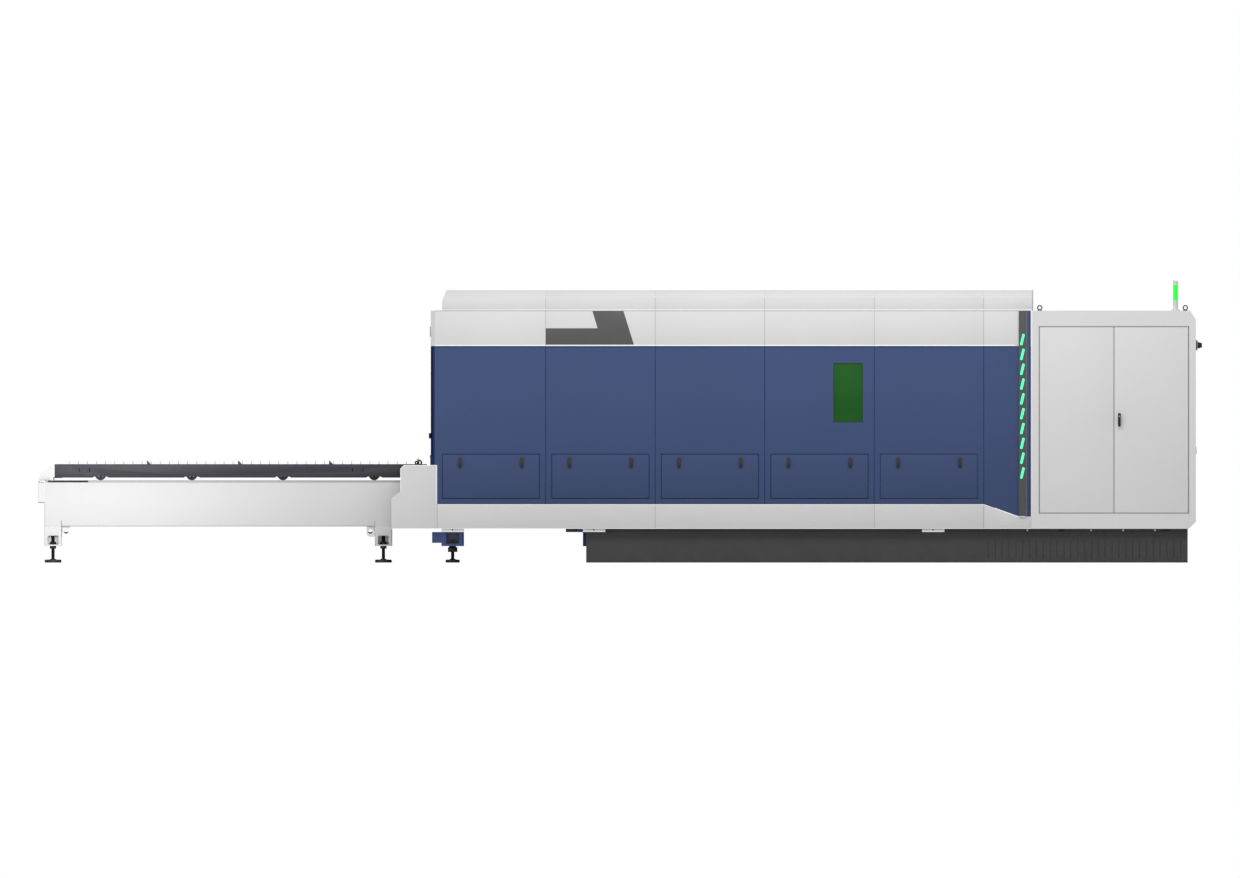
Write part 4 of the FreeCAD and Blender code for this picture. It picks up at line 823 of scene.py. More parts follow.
class LASER_OT_roof(bpy.types.Operator):
    """Roof of folded sheets with joints, a foot strip of painted highlight, end flange and its sloped left end"""
    bl_idname = "laser.roof"
    bl_label = "Roof"

    def execute(self, context):
        low, high = place("roof")
        y, z0, z2 = high.y, low.z, high.z
        z1, run, chamfer = z2 - 61.5, 150.0, 92.0
        joints = joints_x()[1:]

        def section(inset, depth):
            a, b = y - inset, y - inset - depth
            outer = [(-a, z0), (-a, z1 - inset * 0.2), (run - a, z2 - inset), (a - run, z2 - inset),
                     (a, z1 - inset * 0.2), (a, z0)]
            inner = [(b, z0), (b, z1 - (inset + depth) * 0.2), (b - run, z2 - inset - depth),
                     (run - b, z2 - inset - depth), (-b, z1 - (inset + depth) * 0.2), (-b, z0)]
            return outer + inner

        sheets = [end_profile("roof", section(0, 4), a, b, 1.0)
                  for a, b in zip([low.x] + [x + 1 for x in joints], [x - 1 for x in joints] + [high.x])]
        slope, start = Vector((-chamfer, 0, 35)).normalized(), Vector((low.x, 0, z2 - chamfer))
        slice_off(sheets[0], start, slope, clear_outer=True)
        lid = [(-y + 3, z0), (-y + 3, z1 - 1), (run - y, z2 - 3), (y - run, z2 - 3), (y - 3, z1 - 1), (y - 3, z0)]
        sheets.append(end_profile("roof_right_end", lid, high.x - 6, high.x - 3, 0.8))
        sheets.append(block("roof_left_foot", (low.x + 0.5, low.x + 3.5), (3 - y, y - 3), (z0, z2 - chamfer)))
        cheek = end_profile("roof_left_slope", lid, low.x + 0.5, low.x + 60)
        slice_off(cheek, start - slope * 0.5, slope, clear_outer=True)
        slice_off(cheek, start - slope * 3.5, slope, clear_inner=True)
        dress(join("roof_sheets", sheets + [cheek]), "fascia_white", node="roof")

        seams = [end_profile("roof_seam", section(2.2, 2.5), x - 6, x + 6) for x in joints]
        dress(join("roof_seams", seams), "fascia_white")
        strips = [both_sides(block("strip", (x - 4, x + 4), (1.4 - y, 2.3 - y), (z0, z1 - 2))) for x in joints]
        dress(join("roof_seam_strips", strips), "joint_grey")
        flange = end_profile("roof_flange", section(-0.8, 3), high.x - 11, high.x, 0.5)
        dress(flange, "edge_grey")
        # The light strip along the roof's foot is a painted highlight.
        foot = both_sides(block("roof_foot", (low.x, high.x - 12), (-y - 0.8, -y + 2), (z0 + 0.5, z0 + 9), 0.5))
        dress(foot, "trim_white")
        return {"FINISHED"}


class LASER_OT_flaps(bpy.types.Operator):
    """Service flaps: trays with rim and stiffener, a dark lip of painted shade round each, seals in the gaps, and the
    panels' seams and studs
    """
    bl_idname = "laser.flaps"
    bl_label = "Service flaps"

    def execute(self, context):
        seals = []
        for k in range(1, 6):
            low, high = place(f"flap_{k}")
            x, z, turning = (low.x, high.x), (low.z, high.z), f"flap_body_{k}"
            tray = block(f"flap_{k}_tray", x, (low.y + 0.6, high.y), z)
            sink(tray, Y, 3, high.y - low.y - 3.6)
            round_edges(tray, 1.3, 3)
            middle = (low.z + high.z) / 2
            rib = block("rib", (low.x + 40, high.x - 40), (low.y + 3, high.y - 2), (middle - 20, middle + 20), 1.5)
            sink(rib, Y, 3, 10)
            dress(join(f"flap_{k}_sheet", [tray, rib]), "panel_blue", node=f"flap_{k}", body=turning)
            # The dark lip round each flap is painted shade that widens the gap's outline.
            width, finish = (2.4, "lip_blue") if k == 5 else (3.8, "seam_blue")
            inset = width + 0.2
            lip = surround(f"flap_{k}_lip", (x[0] + inset, x[1] - inset), (low.y, low.y + 1.5),
                           (z[0] + inset, z[1] - inset), width, 0.3)
            dress(lip, finish, body=turning)
            line = [(x[0] - 3, z[0]), (x[0] - 0.8, z[0]), (x[0] - 0.8, z[1] + 0.8), (x[1] + 0.8, z[1] + 0.8),
                    (x[1] + 0.8, z[0]), (x[1] + 3, z[0]), (x[1] + 3, z[1] + 3), (x[0] - 3, z[1] + 3)]
            seals.append(side_profile("seal", line, low.y + 2.6, low.y + 4.5, 0.4))
        dress(join("flap_seals", seals), "joint_blue")

        face, levels = place("front_panels")[0].y, ((488, 1036), (1046, 1326), (1336, 1786))
        seams = [block("seam", (x - 3.5, x + 3.5), (face - 0.5, face + 1), z, 0.3)
                 for x in joints_x()[1:] for z in levels]
        dress(join("panel_seams", seams), "seam_blue")
        seats = [(x, face + 0.4, z) for x in (-1435, -1289) for z in (1110, 1227)]
        dress(bolts("panel_studs", seats, -Y, 3, 2), "joint_blue")
        return {"FINISHED"}


class LASER_OT_latches(bpy.types.Operator):
    """Quarter-turn latches of the flaps: dished grey body, black thumb end, shaft and cam"""
    bl_idname = "laser.latches"
    bl_label = "Latches"

    def execute(self, context):
        low, high = place("latch_1")
        x, z = low.x + 15, (low.z + high.z) / 2
        body = capsule("latch_body", x, z, 30, 87, low.y + 3, low.y + 11.5, edge=2.0)
        sink(body, -Y, 4, 2.5)
        boss = drum("boss", (x, low.y + 8, z + 16), -Y, 9, 6, 20, 1.5)
        shaft = drum("shaft", (x, low.y + 10, z), Y, 7, high.y - low.y - 10, 16, 1.0)
        cam = side_profile("cam", rounded(oblong((x - 8, high.x), (z - 8, z + 8), 6)), high.y - 4, high.y, 0.8)
        lever = join("latch", [body, boss, shaft, cam])
        thumb = capsule("latch_thumb", x, z - 24, 22, 34, low.y, low.y + 9, edge=2.5, segments=3)
        for n in range(1, 11):
            offset, turning = place(f"latch_{n}")[0] - low, f"latch_body_{n}"
            dress(moved_copy(lever, f"latch_{n}_lever", offset), "latch_grey", node=f"latch_{n}", body=turning)
            dress(moved_copy(thumb, f"latch_{n}_thumb", offset), "black_parts", body=turning)
        pick(lever, thumb)
        bpy.ops.object.delete()
        return {"FINISHED"}


class LASER_OT_window(bpy.types.Operator):
    """Laser safety window: tinted pane behind the panel with its screws, and a rubber gasket round the opening"""
    bl_idname = "laser.window"
    bl_label = "Window"

    def execute(self, context):
        low, high = place("window_pane")
        x, z = (low.x + 20, high.x - 20), (low.z + 20, high.z - 20)
        pane = block("window_glass", (low.x, high.x), (low.y, high.y), (low.z, high.z), 1.5)
        dress(pane, "window_green", node="window_pane")
        gasket = surround("window_gasket", (x[0] + 5, x[1] - 5), (low.y - 4, low.y), (z[0] + 5, z[1] - 5), 5, 1.0)
        dress(gasket, "gasket_green")
        clips = [(a, low.y + 6, b) for a in (low.x + 10, high.x - 10)
                 for b in (low.z + 10, (low.z + high.z) / 2, high.z - 10)]
        dress(bolts("window_screws", clips, Y, 5, 5), "zinc")
        return {"FINISHED"}


class LASER_OT_light_strip(bpy.types.Operator):
    """Light strip: folded housing, ten slanted lit lenses in dark rims, and the edge trims beside it"""
    bl_idname = "laser.light_strip"
    bl_label = "Light strip"

    def execute(self, context):
        low, high = place("light_bar")
        housing = block("strip_housing", (low.x, high.x), (low.y, high.y), (low.z, high.z))
        sink(housing, Y, 3, high.y - low.y - 3)
        round_edges(housing, 1.4, 3)
        dress(housing, "strip_grey", node="light_bar")

        top, middle = high.z - 191.0, (low.x + high.x) / 2
        lens = capsule("strip_lens", middle, top - 50, 22, 96, low.y - 1.4, low.y + 1, lean=17, edge=1.0, segments=3)
        rim = capsule("strip_rim", middle, top - 50, 30, 104, low.y - 0.7, low.y + 1, lean=17, edge=0.5)
        steps = [(0, 0, -123.0 * k) for k in range(1, 10)]
        dress(copies(lens, steps), "lens_green", node="light_lenses")
        dress(copies(rim, steps), "rim_green")

        band, post = place("fascia")[0].y, 3408
        edge = block("strip_edge", (high.x, high.x + 9), (band - 0.8, high.y + 3), (low.z, high.z - 1), 0.6)
        dress(edge, "edge_violet")
        blue = block("strip_blue", (high.x + 9, post), (band - 1.5, high.y + 6), (low.z, high.z), 1.0)
        dress(blue, "panel_blue")
        shade = block("strip_blue_edge", (post - 11, post - 1), (band - 2.1, band - 1), (low.z + 2, high.z - 2), 0.4)
        dress(shade, "foot_blue")
        return {"FINISHED"}


class LASER_OT_lower_covers(bpy.types.Operator):
    """White lower covers with the raised shoulder over the table's end: joints, returns and painted highlights along
    the edges
    """
    bl_idname = "laser.lower_covers"
    bl_label = "Lower covers"

    def execute(self, context):
        low, high = place("lower_covers")
        left, right, y, z0 = low.x, high.x, low.y, low.z
        end = joints_x()[-1] + 1.5
        top, shoulder, foot, wing, end_top, fall = 485.0, left + 74, 588.0, 536.0, 382.0, end + 284
        joins = [-1517.0, joints_x()[2], joints_x()[4], joints_x()[5]]
        faces = [side_profile("cover", rounded([
            (left, z0, 0), (joins[0] - 1, z0, 0), (joins[0] - 1, high.z, 4), (shoulder + 30, high.z, 3),
            (shoulder, high.z - 30, 3), (shoulder, foot, 0), (left, wing, 6)], 3), y, y + 3, 1.3)]
        for a, b in zip(joins[:-1], joins[1:]):
            faces.append(block("cover", (a + 1, b - 1), (y, y + 3), (z0, top), 1.3))
        faces.append(side_profile("cover_end", [
            (end, z0), (right, z0), (right, end_top), (fall, end_top), (end, top)], y, y + 3, 1.3))
        rim = [
            (left, z0), (left + 3, z0), (left + 3, wing - 1.5), (shoulder + 3, foot - 1.5),
            (shoulder + 3, high.z - 31), (shoulder + 31, high.z - 3), (-1573, high.z - 3), (-1573, high.z),
            (shoulder + 30, high.z), (shoulder, high.z - 30), (shoulder, foot), (left, wing),
        ]
        faces.append(side_profile("cover_rim", rim, y + 1.5, -1060, 0.8))
        faces.append(block("cover_foot", (left + 3, right), (y + 1.5, y + 40), (z0, z0 + 3), 0.8))
        dress(mirrored("lower_cover_sheets", faces), "sill_white", node="lower_covers")

        backs = [block("cover_joint", (x - 4, x + 4), (y + 3.1, y + 5), (z0 + 3, top - 3), 0.4) for x in joins]
        dress(mirrored("cover_joints", backs), "joint_grey")

        # Light strips along the shoulder, sill, slope and foot are painted highlights.
        light = [
            side_profile("rim_light", rounded([
                (shoulder - 0.5, foot, 0), (shoulder + 7, foot, 0), (shoulder + 7, high.z - 33, 0),
                (shoulder + 33, high.z - 7, 0), (joins[0] - 9, high.z - 7, 0), (joins[0] - 9, top + 6, 0),
                (joins[0] - 1, top, 0), (joins[0] - 1, high.z, 0), (shoulder + 30, high.z, 0),
                (shoulder - 0.5, high.z - 30, 0)], 3), y - 0.6, y + 1, 0.3),
            block("sill_light", (joins[0] + 1, end), (y - 0.6, y + 1), (top - 6, top), 0.4),
            block("foot_light", (left, right), (y - 0.6, y + 1), (z0, z0 + 5), 0.4),
            side_profile("slope_light", [(end, top - 8), (fall - 5, end_top - 5), (right, end_top - 5),
                                         (right, end_top), (fall, end_top), (end, top)], y - 0.6, y + 1, 0.3),
        ]
        dress(mirrored("cover_edges", light), "trim_white")
        return {"FINISHED"}


class LASER_OT_plinth(bpy.types.Operator):
    """Small parts of the plinth: screws, lifting slots, the back of the vents and the floor flange"""
    bl_idname = "laser.plinth"
    bl_label = "Plinth details"

    def execute(self, context):
        low, high = place("plinth_vents")
        y = low.y + 57.0
        seats = [(x, y, 269.0) for x in (3381.0, 3910.0, 4176.0, 4440.0)]
        dress(both_sides(bolts("plinth_screws", seats, -Y, 5, 4)), "trim_white")
        slots = [block("slot", x, (y - 1, y + 1), (262, 279), 0.4) for x in ((3641, 3691), (4491, 4561))]
        dress(mirrored("plinth_slots", slots), "seam_dark")
        left, split = place("plinth")[0].x, 3000.0
        backing = block("vent_backing", (split + 6, high.x - 6), (y + 3.2, y + 6), (20, 250), 0.8)
        dress(backing, "plinth_grey")
        runs = ((left, split), (split + 2, high.x))
        flange = [block("floor_flange", run, (y - 6, y + 1), (0, 6), 1.5) for run in runs]
        dress(mirrored("plinth_flange", flange), "plinth_grey")
        return {"FINISHED"}


class LASER_OT_port_wall(bpy.types.Operator):
    """End wall round the loading port: rolled trim, screws, a sight tab, a lamp and the ribbed loading door"""
    bl_idname = "laser.port_wall"
    bl_label = "Port wall"

    def execute(self, context):
        x = place("port_wall")[0].x
        trim = block("port_trim", (x - 5, x + 1), (-950, 950), (415, 895))
        cut(trim, block("opening", (x - 10, x + 6), (-920, 920), (440, 870)))
        round_edges(trim, 1.5, 3)
        dress(trim, "frame_blue")
        seats = [(x - 4.8, s * 935, z) for s in (-1, 1) for z in (430, 580, 730, 880)]
        seats += [(x - 4.8, y, z) for y in (-620, -310, 0, 310, 620) for z in (427, 883)]
        dress(bolts("port_screws", seats, -X, 6, 5), "zinc")
        dress(block("port_tab", (x - 17, x + 1), (-1300, -1255), (1030, 1075), 2), "frame_blue")
        dress(block("port_lamp", (x - 9, x + 1), (-1296, -1262), (1874, 1960), 3, 3), "tower_grey")

        low, high = place("port_door")
        sheet = block("door_sheet", (low.x, high.x), (low.y, high.y), (low.z, high.z))
        sink(sheet, X, 35, high.x - low.x - 3)
        round_edges(sheet, 1.2)
        step = (high.y - low.y - 70) / 6
        rib = block("rib", (low.x + 3, high.x - 1), (low.y + 35 + step - 15, low.y + 35 + step + 15),
                    (low.z + 35, high.z - 35), 1.5)
        row(rib, 5, (0, step, 0))
        dress(join("loading_door_sheet", [sheet, rib]), "door_white", node="port_door", body="loading_door")
        return {"FINISHED"}


# ---------------------------------------------------------------- exchange table

class LASER_OT_table(bpy.types.Operator):
    """Side beams of the exchange table with legs, rounded nose, top strip, dark lines and quarter-round guards"""
    bl_idname = "laser.table"
    bl_label = "Table beams"

    def execute(self, context):
        low, high = place("table_side_beams")
        y0, y1 = low.y, low.y + 120
        left, right = low.x + 53, high.x
        parts = [block("beam", (left, right), (y0, y1), (300.5, 665), 4, 3)]
        strip = block("beam_strip", (left, right), (y0 + 1, y1), (662, 684), 3, 3)
        nose = side_profile("nose", rounded([(low.x, 495, 8), (left + 6, 495, 0), (left + 6, 681, 0),
                                             (low.x, 681, 28)], 8), y0, y1, 3.0, 3)
        parts.append(nose)
        legs = [left + 71, right - 361.5]
        backs = []
        for x in legs:
            leg = side_profile("leg", rounded(oblong((x - 71, x + 71), (138, 302), 3, 0)), y0, y1)
            window = side_profile("window", rounded(oblong((x - 45, x + 45), (150, 224), 0, 12)), y0 - 5, y1 - 8)
            inside = block("inside", (x - 63, x + 63), (y0 + 8, y1 - 8), (150, 290))
            cut(leg, window, inside)
            backs.append(block("window_back", (x - 62, x + 62), (y0 + 78, y0 + 81), (151, 288), 0.6))
            parts.append(round_edges(leg, 2.5, 3))
            parts.append(block("leg_plate", (x + 45, x + 73.5), (y0 + 40, y1 - 20), (138, 300), 2))
        beams = mirrored("table_beams", parts)
        dress(beams, "sill_white", node="table_side_beams")
        dress(both_sides(strip), "strip_white")
        # The backs behind the leg windows are brighter white: painted light where the lamps do not reach.
        dress(mirrored("leg_backs", backs), "trim_white")
        edges = [block("leg_edge", (x + side * 69 - 2, x + side * 69 + 2), (y0 - 0.6, y0 + 2), (138, top), 0.4)
                 for x, side, top in ((legs[0], -1, 490), (legs[0], 1, 216), (legs[1], -1, 258))]
        dress(mirrored("leg_edges", edges), "line_grey")

        x, z = low.x + 101, 684.0
        turns = [math.pi / 2 * (1 + k / 12) for k in range(13)]
        guard = []
        for radius, start, end in ((95, y1, y1 + 40), (60, y1 - 6, y1)):
            outline = [(x + radius * math.cos(a), z + radius * math.sin(a)) for a in turns] + [(x, z)]
            guard.append(side_profile("guard", outline, start, end, 2.0, 3))
        guard.append(drum("guard_pin", (x, y1 + 20, 776), Z, 6, 14, 12, 1.5))
        guard.append(block("guard_clip", (low.x + 88, low.x + 124), (y1 + 10, y1 + 30), (774, 780), 1.2))
        dress(mirrored("sprocket_guards", guard), "guard_white")

        dark = [
            block("nose_shadow", (low.x + 2, left + 4), (y0 - 1.2, y0 + 2), (495, 502), 0.6),
            side_profile("nose_step", [(low.x + 2, 672), (low.x + 18, 660), (low.x + 18, 668), (low.x + 4, 680)],
                         y0 - 0.8, y0 + 2, 0.3),
            block("nose_top", (low.x + 22, low.x + 52), (y0 - 0.4, y0 + 2), (662, 667), 0.4),
        ]
        dark += [block("leg_line", x, (y0 - 0.3, y0 + 2), z, 0.4) for x, z in (
            ((legs[0] + 74, legs[1] - 74), (300.5, 305)), ((legs[0] + 68, legs[0] + 74), (218, 350)),
            ((legs[1] - 74, legs[1] - 70), (262, 350)), ((legs[1] + 67, legs[1] + 73), (139, 276)))]
        dress(mirrored("table_dark_lines", dark), "joint_grey")
        slot = block("cable_slot", (left + 30, left + 363), (y0 - 0.8, y0 + 3), (667, 681), 1.0)
        dress(both_sides(slot), "seam_dark")
        seats = [(left + 400 + 340 * k, y0 + 1, 645) for k in range(8)]
        dress(both_sides(bolts("beam_bolts", seats, -Y, 5, 3)), "sill_white")
        return {"FINISHED"}


class LASER_OT_lugs(bpy.types.Operator):
    """Tie-down lugs at the legs: plates with a round lower end, a bored hole with a dark crescent of painted shade in
    it, and a weld bead
    """
    bl_idname = "laser.lugs"
    bl_label = "Tie-down lugs"

    def execute(self, context):
        low, high = place("anchor_lugs")
        y = low.y
        pieces, wear = [], []
        width = 69
        for side, edge in ((1, low.x), (-1, high.x)):
            outer = edge + side * width
            hole = edge + side * width * 0.55
            corners = [(edge, high.z, 0), (outer, high.z, 4), (outer, low.z, 30), (edge, low.z, 12)]
            lug = side_profile("lug", rounded(corners, 8), y, y + 16)
            # Dark crescent in the lower part of the bore: painted shade.
            arc = [math.pi * (1.15 + 0.7 * k / 12) for k in range(13)]
            inner = [math.pi * (1.85 - 0.7 * k / 12) for k in range(13)]
            crescent = [(hole + 19 * math.cos(a), high.z - 42 + 19 * math.sin(a)) for a in arc]
            crescent += [(hole + 19 * math.cos(a), high.z - 31 + 17 * math.sin(a)) for a in inner]
            wear.append(side_profile("wear", crescent, y - 0.5, y + 15))
            cut(lug, drum("bore", (hole, y - 5, high.z - 42), Y, 18, 26, 32))
            pieces.append(round_edges(lug, 2.0, 3))
            pieces.append(drum("bead", (edge + side, y - 2, low.z + 6), Z, 3.5, high.z - low.z - 8, 8, 1.5))
        # The lugs are white; the brighter white adds painted light against the shade where they sit.
        dress(mirrored("tie_lugs", pieces), "trim_white", node="anchor_lugs")
        dress(mirrored("lug_wear_rings", wear), "seam_dark")
        return {"FINISHED"}


def threaded_stem(x, y, z0, z1, radius, pitch):
    """Stem with a ridge for each turn of its thread."""
    outline = [(0, 0)]
    count = int((z1 - z0) / pitch)
    for k in range(count):
        outline += [(radius * 0.88, pitch * k), (radius, pitch * (k + 0.5))]
    outline += [(radius * 0.88, pitch * count), (radius * 0.7, z1 - z0), (0, z1 - z0)]
    return lathe("stem", (x, y, z0), Z, outline, 16)


def hexagon_nut(x, y, z, width, height):
    nut = drum("nut", (x, y, z), Z, width / math.sqrt(3), height, 6)
    return round_edges(nut, 2.5, 3, 20)


def foot_pad(x, y, radius):
    return lathe("pad", (x, y, 0), Z, [
        (0, 0), (radius - 5, 0), (radius, 5), (radius, 19), (radius - 5, 25), (26, 26), (22, 32), (0, 32)], 40)


class LASER_OT_feet(bpy.types.Operator):
    """Levelling feet: domed pad, threaded stem, jam nuts, and the stepped collar of the bed's feet"""
    bl_idname = "laser.feet"
    bl_label = "Levelling feet"

    def execute(self, context):
        pitch, stem, across = sizes().thread / MM, 14.5, 53
        x, y = place("levelling_feet")[0].x + 70, -1000.0
        foot = join("table_feet", [
            foot_pad(x, y, 70), threaded_stem(x, y, 24, 228, stem, pitch),
            hexagon_nut(x, y, 116, across, 22), hexagon_nut(x, y, 150, across, 22)])
        copies(foot, [(2742.5, 0, 0)])
        dress(both_sides(foot), "black_parts", node="levelling_feet")

        x, y = -1389.0, -1050.0
        collar = lathe("collar", (x, y, 88), Z, [
            (0, 0), (37, 0), (39.5, 3), (39.5, 34), (37, 38), (30, 42), (28, 49), (0, 49)], 24)
        foot = join("bed_feet", [
            foot_pad(x, y, 59), threaded_stem(x, y, 24, 198, stem, pitch), collar,
            hexagon_nut(x, y, 157, across, 22)])
        copies(foot, [(3989.0, 0, 0)])
        dress(both_sides(foot), "black_parts")
        return {"FINISHED"}


# ---------------------------------------------------------------- pallets

def toothed_slat(name, x, half, low, top, thickness, pitch):
    """Thin plate on edge, with pointed teeth along its upper edge."""
    count, root, shoulder = int(2 * half / pitch), top - 22, top - 3
    step = 2 * half / count
    outline = [(-half, low), (half, low)]
    for k in range(count):
        right = half - step * k
        outline += [(right, root), (right - step * 0.35, shoulder), (right - step * 0.5, top),
                    (right - step * 0.65, shoulder)]
    outline.append((-half, root))
    return end_profile(name, outline, x - thickness / 2, x + thickness / 2)


class LASER_OT_slats(bpy.types.Operator):
    """Toothed support slats of both pallets, each a plate on edge in the comb bars"""
    bl_idname = "laser.slats"
    bl_label = "Slats"

    def execute(self, context):
        tooth = sizes().tooth / MM
        for level in ("upper", "lower"):
            low, high = place(f"{level}_slats")
            count, thick = 38, 6
            step = (high.x - low.x - thick) / (count - 1)
            piece = toothed_slat(f"{level}_slat_row", low.x + thick / 2, high.y, low.z, high.z, thick, tooth)
            row(piece, count, (step, 0, 0))
            dress(piece, "slat_steel", node=f"{level}_slats", body=f"{level}_pallet", smooth=0)
        return {"FINISHED"}


def wheel_shape(name, x, y, z, side):
    """Turned wheel: tread with a light groove, dished web and hub; side is -1 at the front."""
    out = Vector((0, side, 0))
    start = (x, y - side * 26, z)
    return lathe(name, start, out, [
        (12.6, 0), (44, 0), (46.5, 2.5), (46.5, 11), (45.3, 12.5), (46.5, 14), (46.5, 23.5), (44, 26), (38, 26),
        (36, 22.5), (22, 22.5), (20, 26), (12.6, 26),
    ], 40)


def wheel_axle(x, start, z, length, segments):
    return lathe("axle", (x, start, z), Y, [
        (0, 0), (10, 0), (12.5, 2), (12.5, length - 2), (10, length), (0, length)], segments)


class LASER_OT_wheels(bpy.types.Operator):
    """Pallet wheels: turned wheels on their axles, with lock nuts and a mark that shows them turn"""
    bl_idname = "laser.wheels"
    bl_label = "Pallet wheels"

    def execute(self, context):
        for k in range(1, 5):
            low, high = place(f"wheelset_{k}")
            x, z, y = (low.x + high.x) / 2, (low.z + high.z) / 2, high.y
            wheels = [wheel_shape("wheel", x, side * y, z, side) for side in (-1, 1)]
            bright = [wheel_axle(x, 0.5 - y, z, 2 * y - 1, 24)]
            for side in (-1, 1):
                nut = drum("nut", (x, side * (y - 4), z), Vector((0, side, 0)), 9, 3.5, 6)
                bright.append(round_edges(nut, 0.8, 2, 20))
                bright.append(block("mark", (x - 3, x + 3), sorted((side * (y - 5), side * (y - 0.2))),
                                    (z + 24, z + 34), 1.0))
            turned = join(f"wheels_{k}_turned", wheels)
            dress(turned, "wheel_dark", node=f"wheelset_{k}", body=f"wheels_{k}")
            dress(join(f"wheels_{k}_axle", bright), "bright_steel", body=f"wheels_{k}")
        return {"FINISHED"}


class LASER_OT_pallets(bpy.types.Operator):
    """Pallet frames: notched side plates with slots, comb bars, axle forks, stops, hub caps, hooks and couplings"""
    bl_idname = "laser.pallets"
    bl_label = "Pallet frames"

    def execute(self, context):
        low, high = place("upper_pallet_frame")
        x0, x1, y = low.x, high.x, low.y
        z0, z1 = 705.0, 817.5
        comb, axle = (744, 756), 729.8
        wheels = [x0 + 382 + 757 * k for k in range(4)]
        slots = [x0 + 206, x0 + 291, x1 - 529, x1 - 616]
        for level, offset in (("upper", (0, 0, 0)), ("lower", (3800, 0, -205))):
            body = f"{level}_pallet"
            corners = [(x0, z1, 3), (x0, z0, 3)]
            for x in wheels:
                corners += [(x - 67, z0, 3), (x - 55, z0 + 8, 5), (x + 55, z0 + 8, 5), (x + 67, z0, 3)]
            corners += [(x1, z0, 3), (x1, z1, 3)]
            plate = side_profile("side_plate", rounded(corners, 3), y, y + 8)
            cuts = [side_profile("slot", rounded(oblong((x - 4, x + 4), (z1 - 66, z1 - 33), 3.9), 4), y - 5, y + 13)
                    for x in slots]
            cut(plate, *cuts)
            parts = [round_edges(plate, 1.5, 2)]
            for k in range(3):
                x = x0 + 766 + 756 * k
                parts.append(side_profile("stop", rounded([
                    (x, z1 - 2, 0), (x + 33, z1 - 2, 0), (x + 31, z1 + 2, 2), (x + 3, z1 + 31, 3),
                    (x, z1 + 29, 2)], 3), y, y + 8, 1.2))
            parts.append(block("comb", (x0 + 40, x1 - 40), (y + 46, y + 82), comb, 1.5))
            ends = [x0 + 40] + [x + 70.5 for x in wheels]
            stops = [x - 70.5 for x in wheels] + [x1 - 40]
            parts += [block("spacer", run, (y + 8, y + 46), comb, 1.5) for run in zip(ends, stops)]
            for x in wheels:
                parts.append(side_profile("fork", rounded([
                    (x - 22, 744, 0), (x - 22, axle - 16, 6), (x - 12.6, axle - 16, 0), (x - 12.6, axle + 12.6, 5),
                    (x + 12.6, axle + 12.6, 5), (x + 12.6, axle - 16, 0), (x + 22, axle - 16, 6),
                    (x + 22, 744, 0)], 4), y + 46, y + 60, 1.0))
            parts.append(block("top_fold", (x0 + 36, x1 - 3), (y + 0.5, y + 30), (z1 - 3, z1), 1.0))
            bars = [block("end_bar", (x, x + 40), (y + 8, -y - 8), (715, 756), 2.5, 3) for x in (x0, x1 - 40)]
            middle = (x0 + x1) / 2
            bars.append(block("middle_bar", (middle - 20, middle + 20), (y + 82, -y - 82), comb, 2))
            piece = join(f"{body}_frame_sides", [mirrored("frame_side", parts)] + bars)
            dress(shift(piece, offset), "pallet_grey", node=f"{body}_frame", body=body)

            backs = [block("slot_back", (x - 8, x + 8), (y + 8, y + 11), (z1 - 72, z1 - 27), 1.0) for x in slots]
            back = mirrored(f"{level}_slot_backs", backs)
            dress(shift(back, offset), "seam_dark", body=body)
            hubs = [lathe("hub", (x, y + 1, 715), -Y, [
                (0, 0), (12, 0), (12, 1.2), (11, 2), (6, 2), (5, 1.2), (0, 1.2)], 20) for x in wheels]
            caps = mirrored(f"{level}_hub_caps", hubs)
            dress(shift(caps, offset), "seam_dark", body=body)
            seats = [(x + dx, y + 0.4, 717) for x in wheels for dx in (-13, 13)]
            dots = both_sides(bolts(f"{level}_hub_dots", seats, -Y, 2.6, 1.6))
            dress(shift(dots, offset), "zinc", body=body)
            hook = side_profile(f"{body}_hooks", rounded([
                (x0 - 10, z0 + 3, 2), (x0 + 60, z0 + 3, 2), (x0 + 60, z0 - 3, 2), (x0 - 2, z0 - 3, 2),
                (x0 - 2, z0 - 20, 0), (x0 - 10, z0 - 20, 0)], 3), y + 8.5, y + 30, 1.2)
            dress(shift(both_sides(hook), offset), "seam_dark", body=body)

            x, eye = x1 - 70, y + 34
            coupling = join(f"{level}_coupling", [
                lathe("base", (x, eye, 756), Z, [(0, 0), (25, 0), (25, 56), (22, 60), (0, 60)], 32),
                ring("eye", (x + 9, eye, 830), Y, 16.5, 6.5, 28),
                ring("eye", (x - 14, eye, 829), Y, 12.0, 6.0, 24),
                block("web", (x - 8, x + 8), (eye - 6, eye + 6), (810, 847), 3, 3)])
            dress(shift(coupling, offset), "black_parts", body=body)
            pin = lathe(f"{level}_coupling_pin", (x - 4, eye, 838), Z, [
                (0, 0), (7, 0), (7, 18), (10, 19), (10, 23), (7, 25), (0, 25)], 24)
            dress(shift(pin, offset), "tower_grey", body=body)
        rims = []
        for x in wheels:
            rims += [wheel_shape("rim", x, side * 876, axle, side) for side in (-1, 1)]
            rims.append(wheel_axle(x, -875, axle, 1749, 20))
        dress(shift(join("lower_pallet_wheels", rims), offset), "wheel_steel", body="lower_pallet")
        return {"FINISHED"}


# ---------------------------------------------------------------- pallet drive

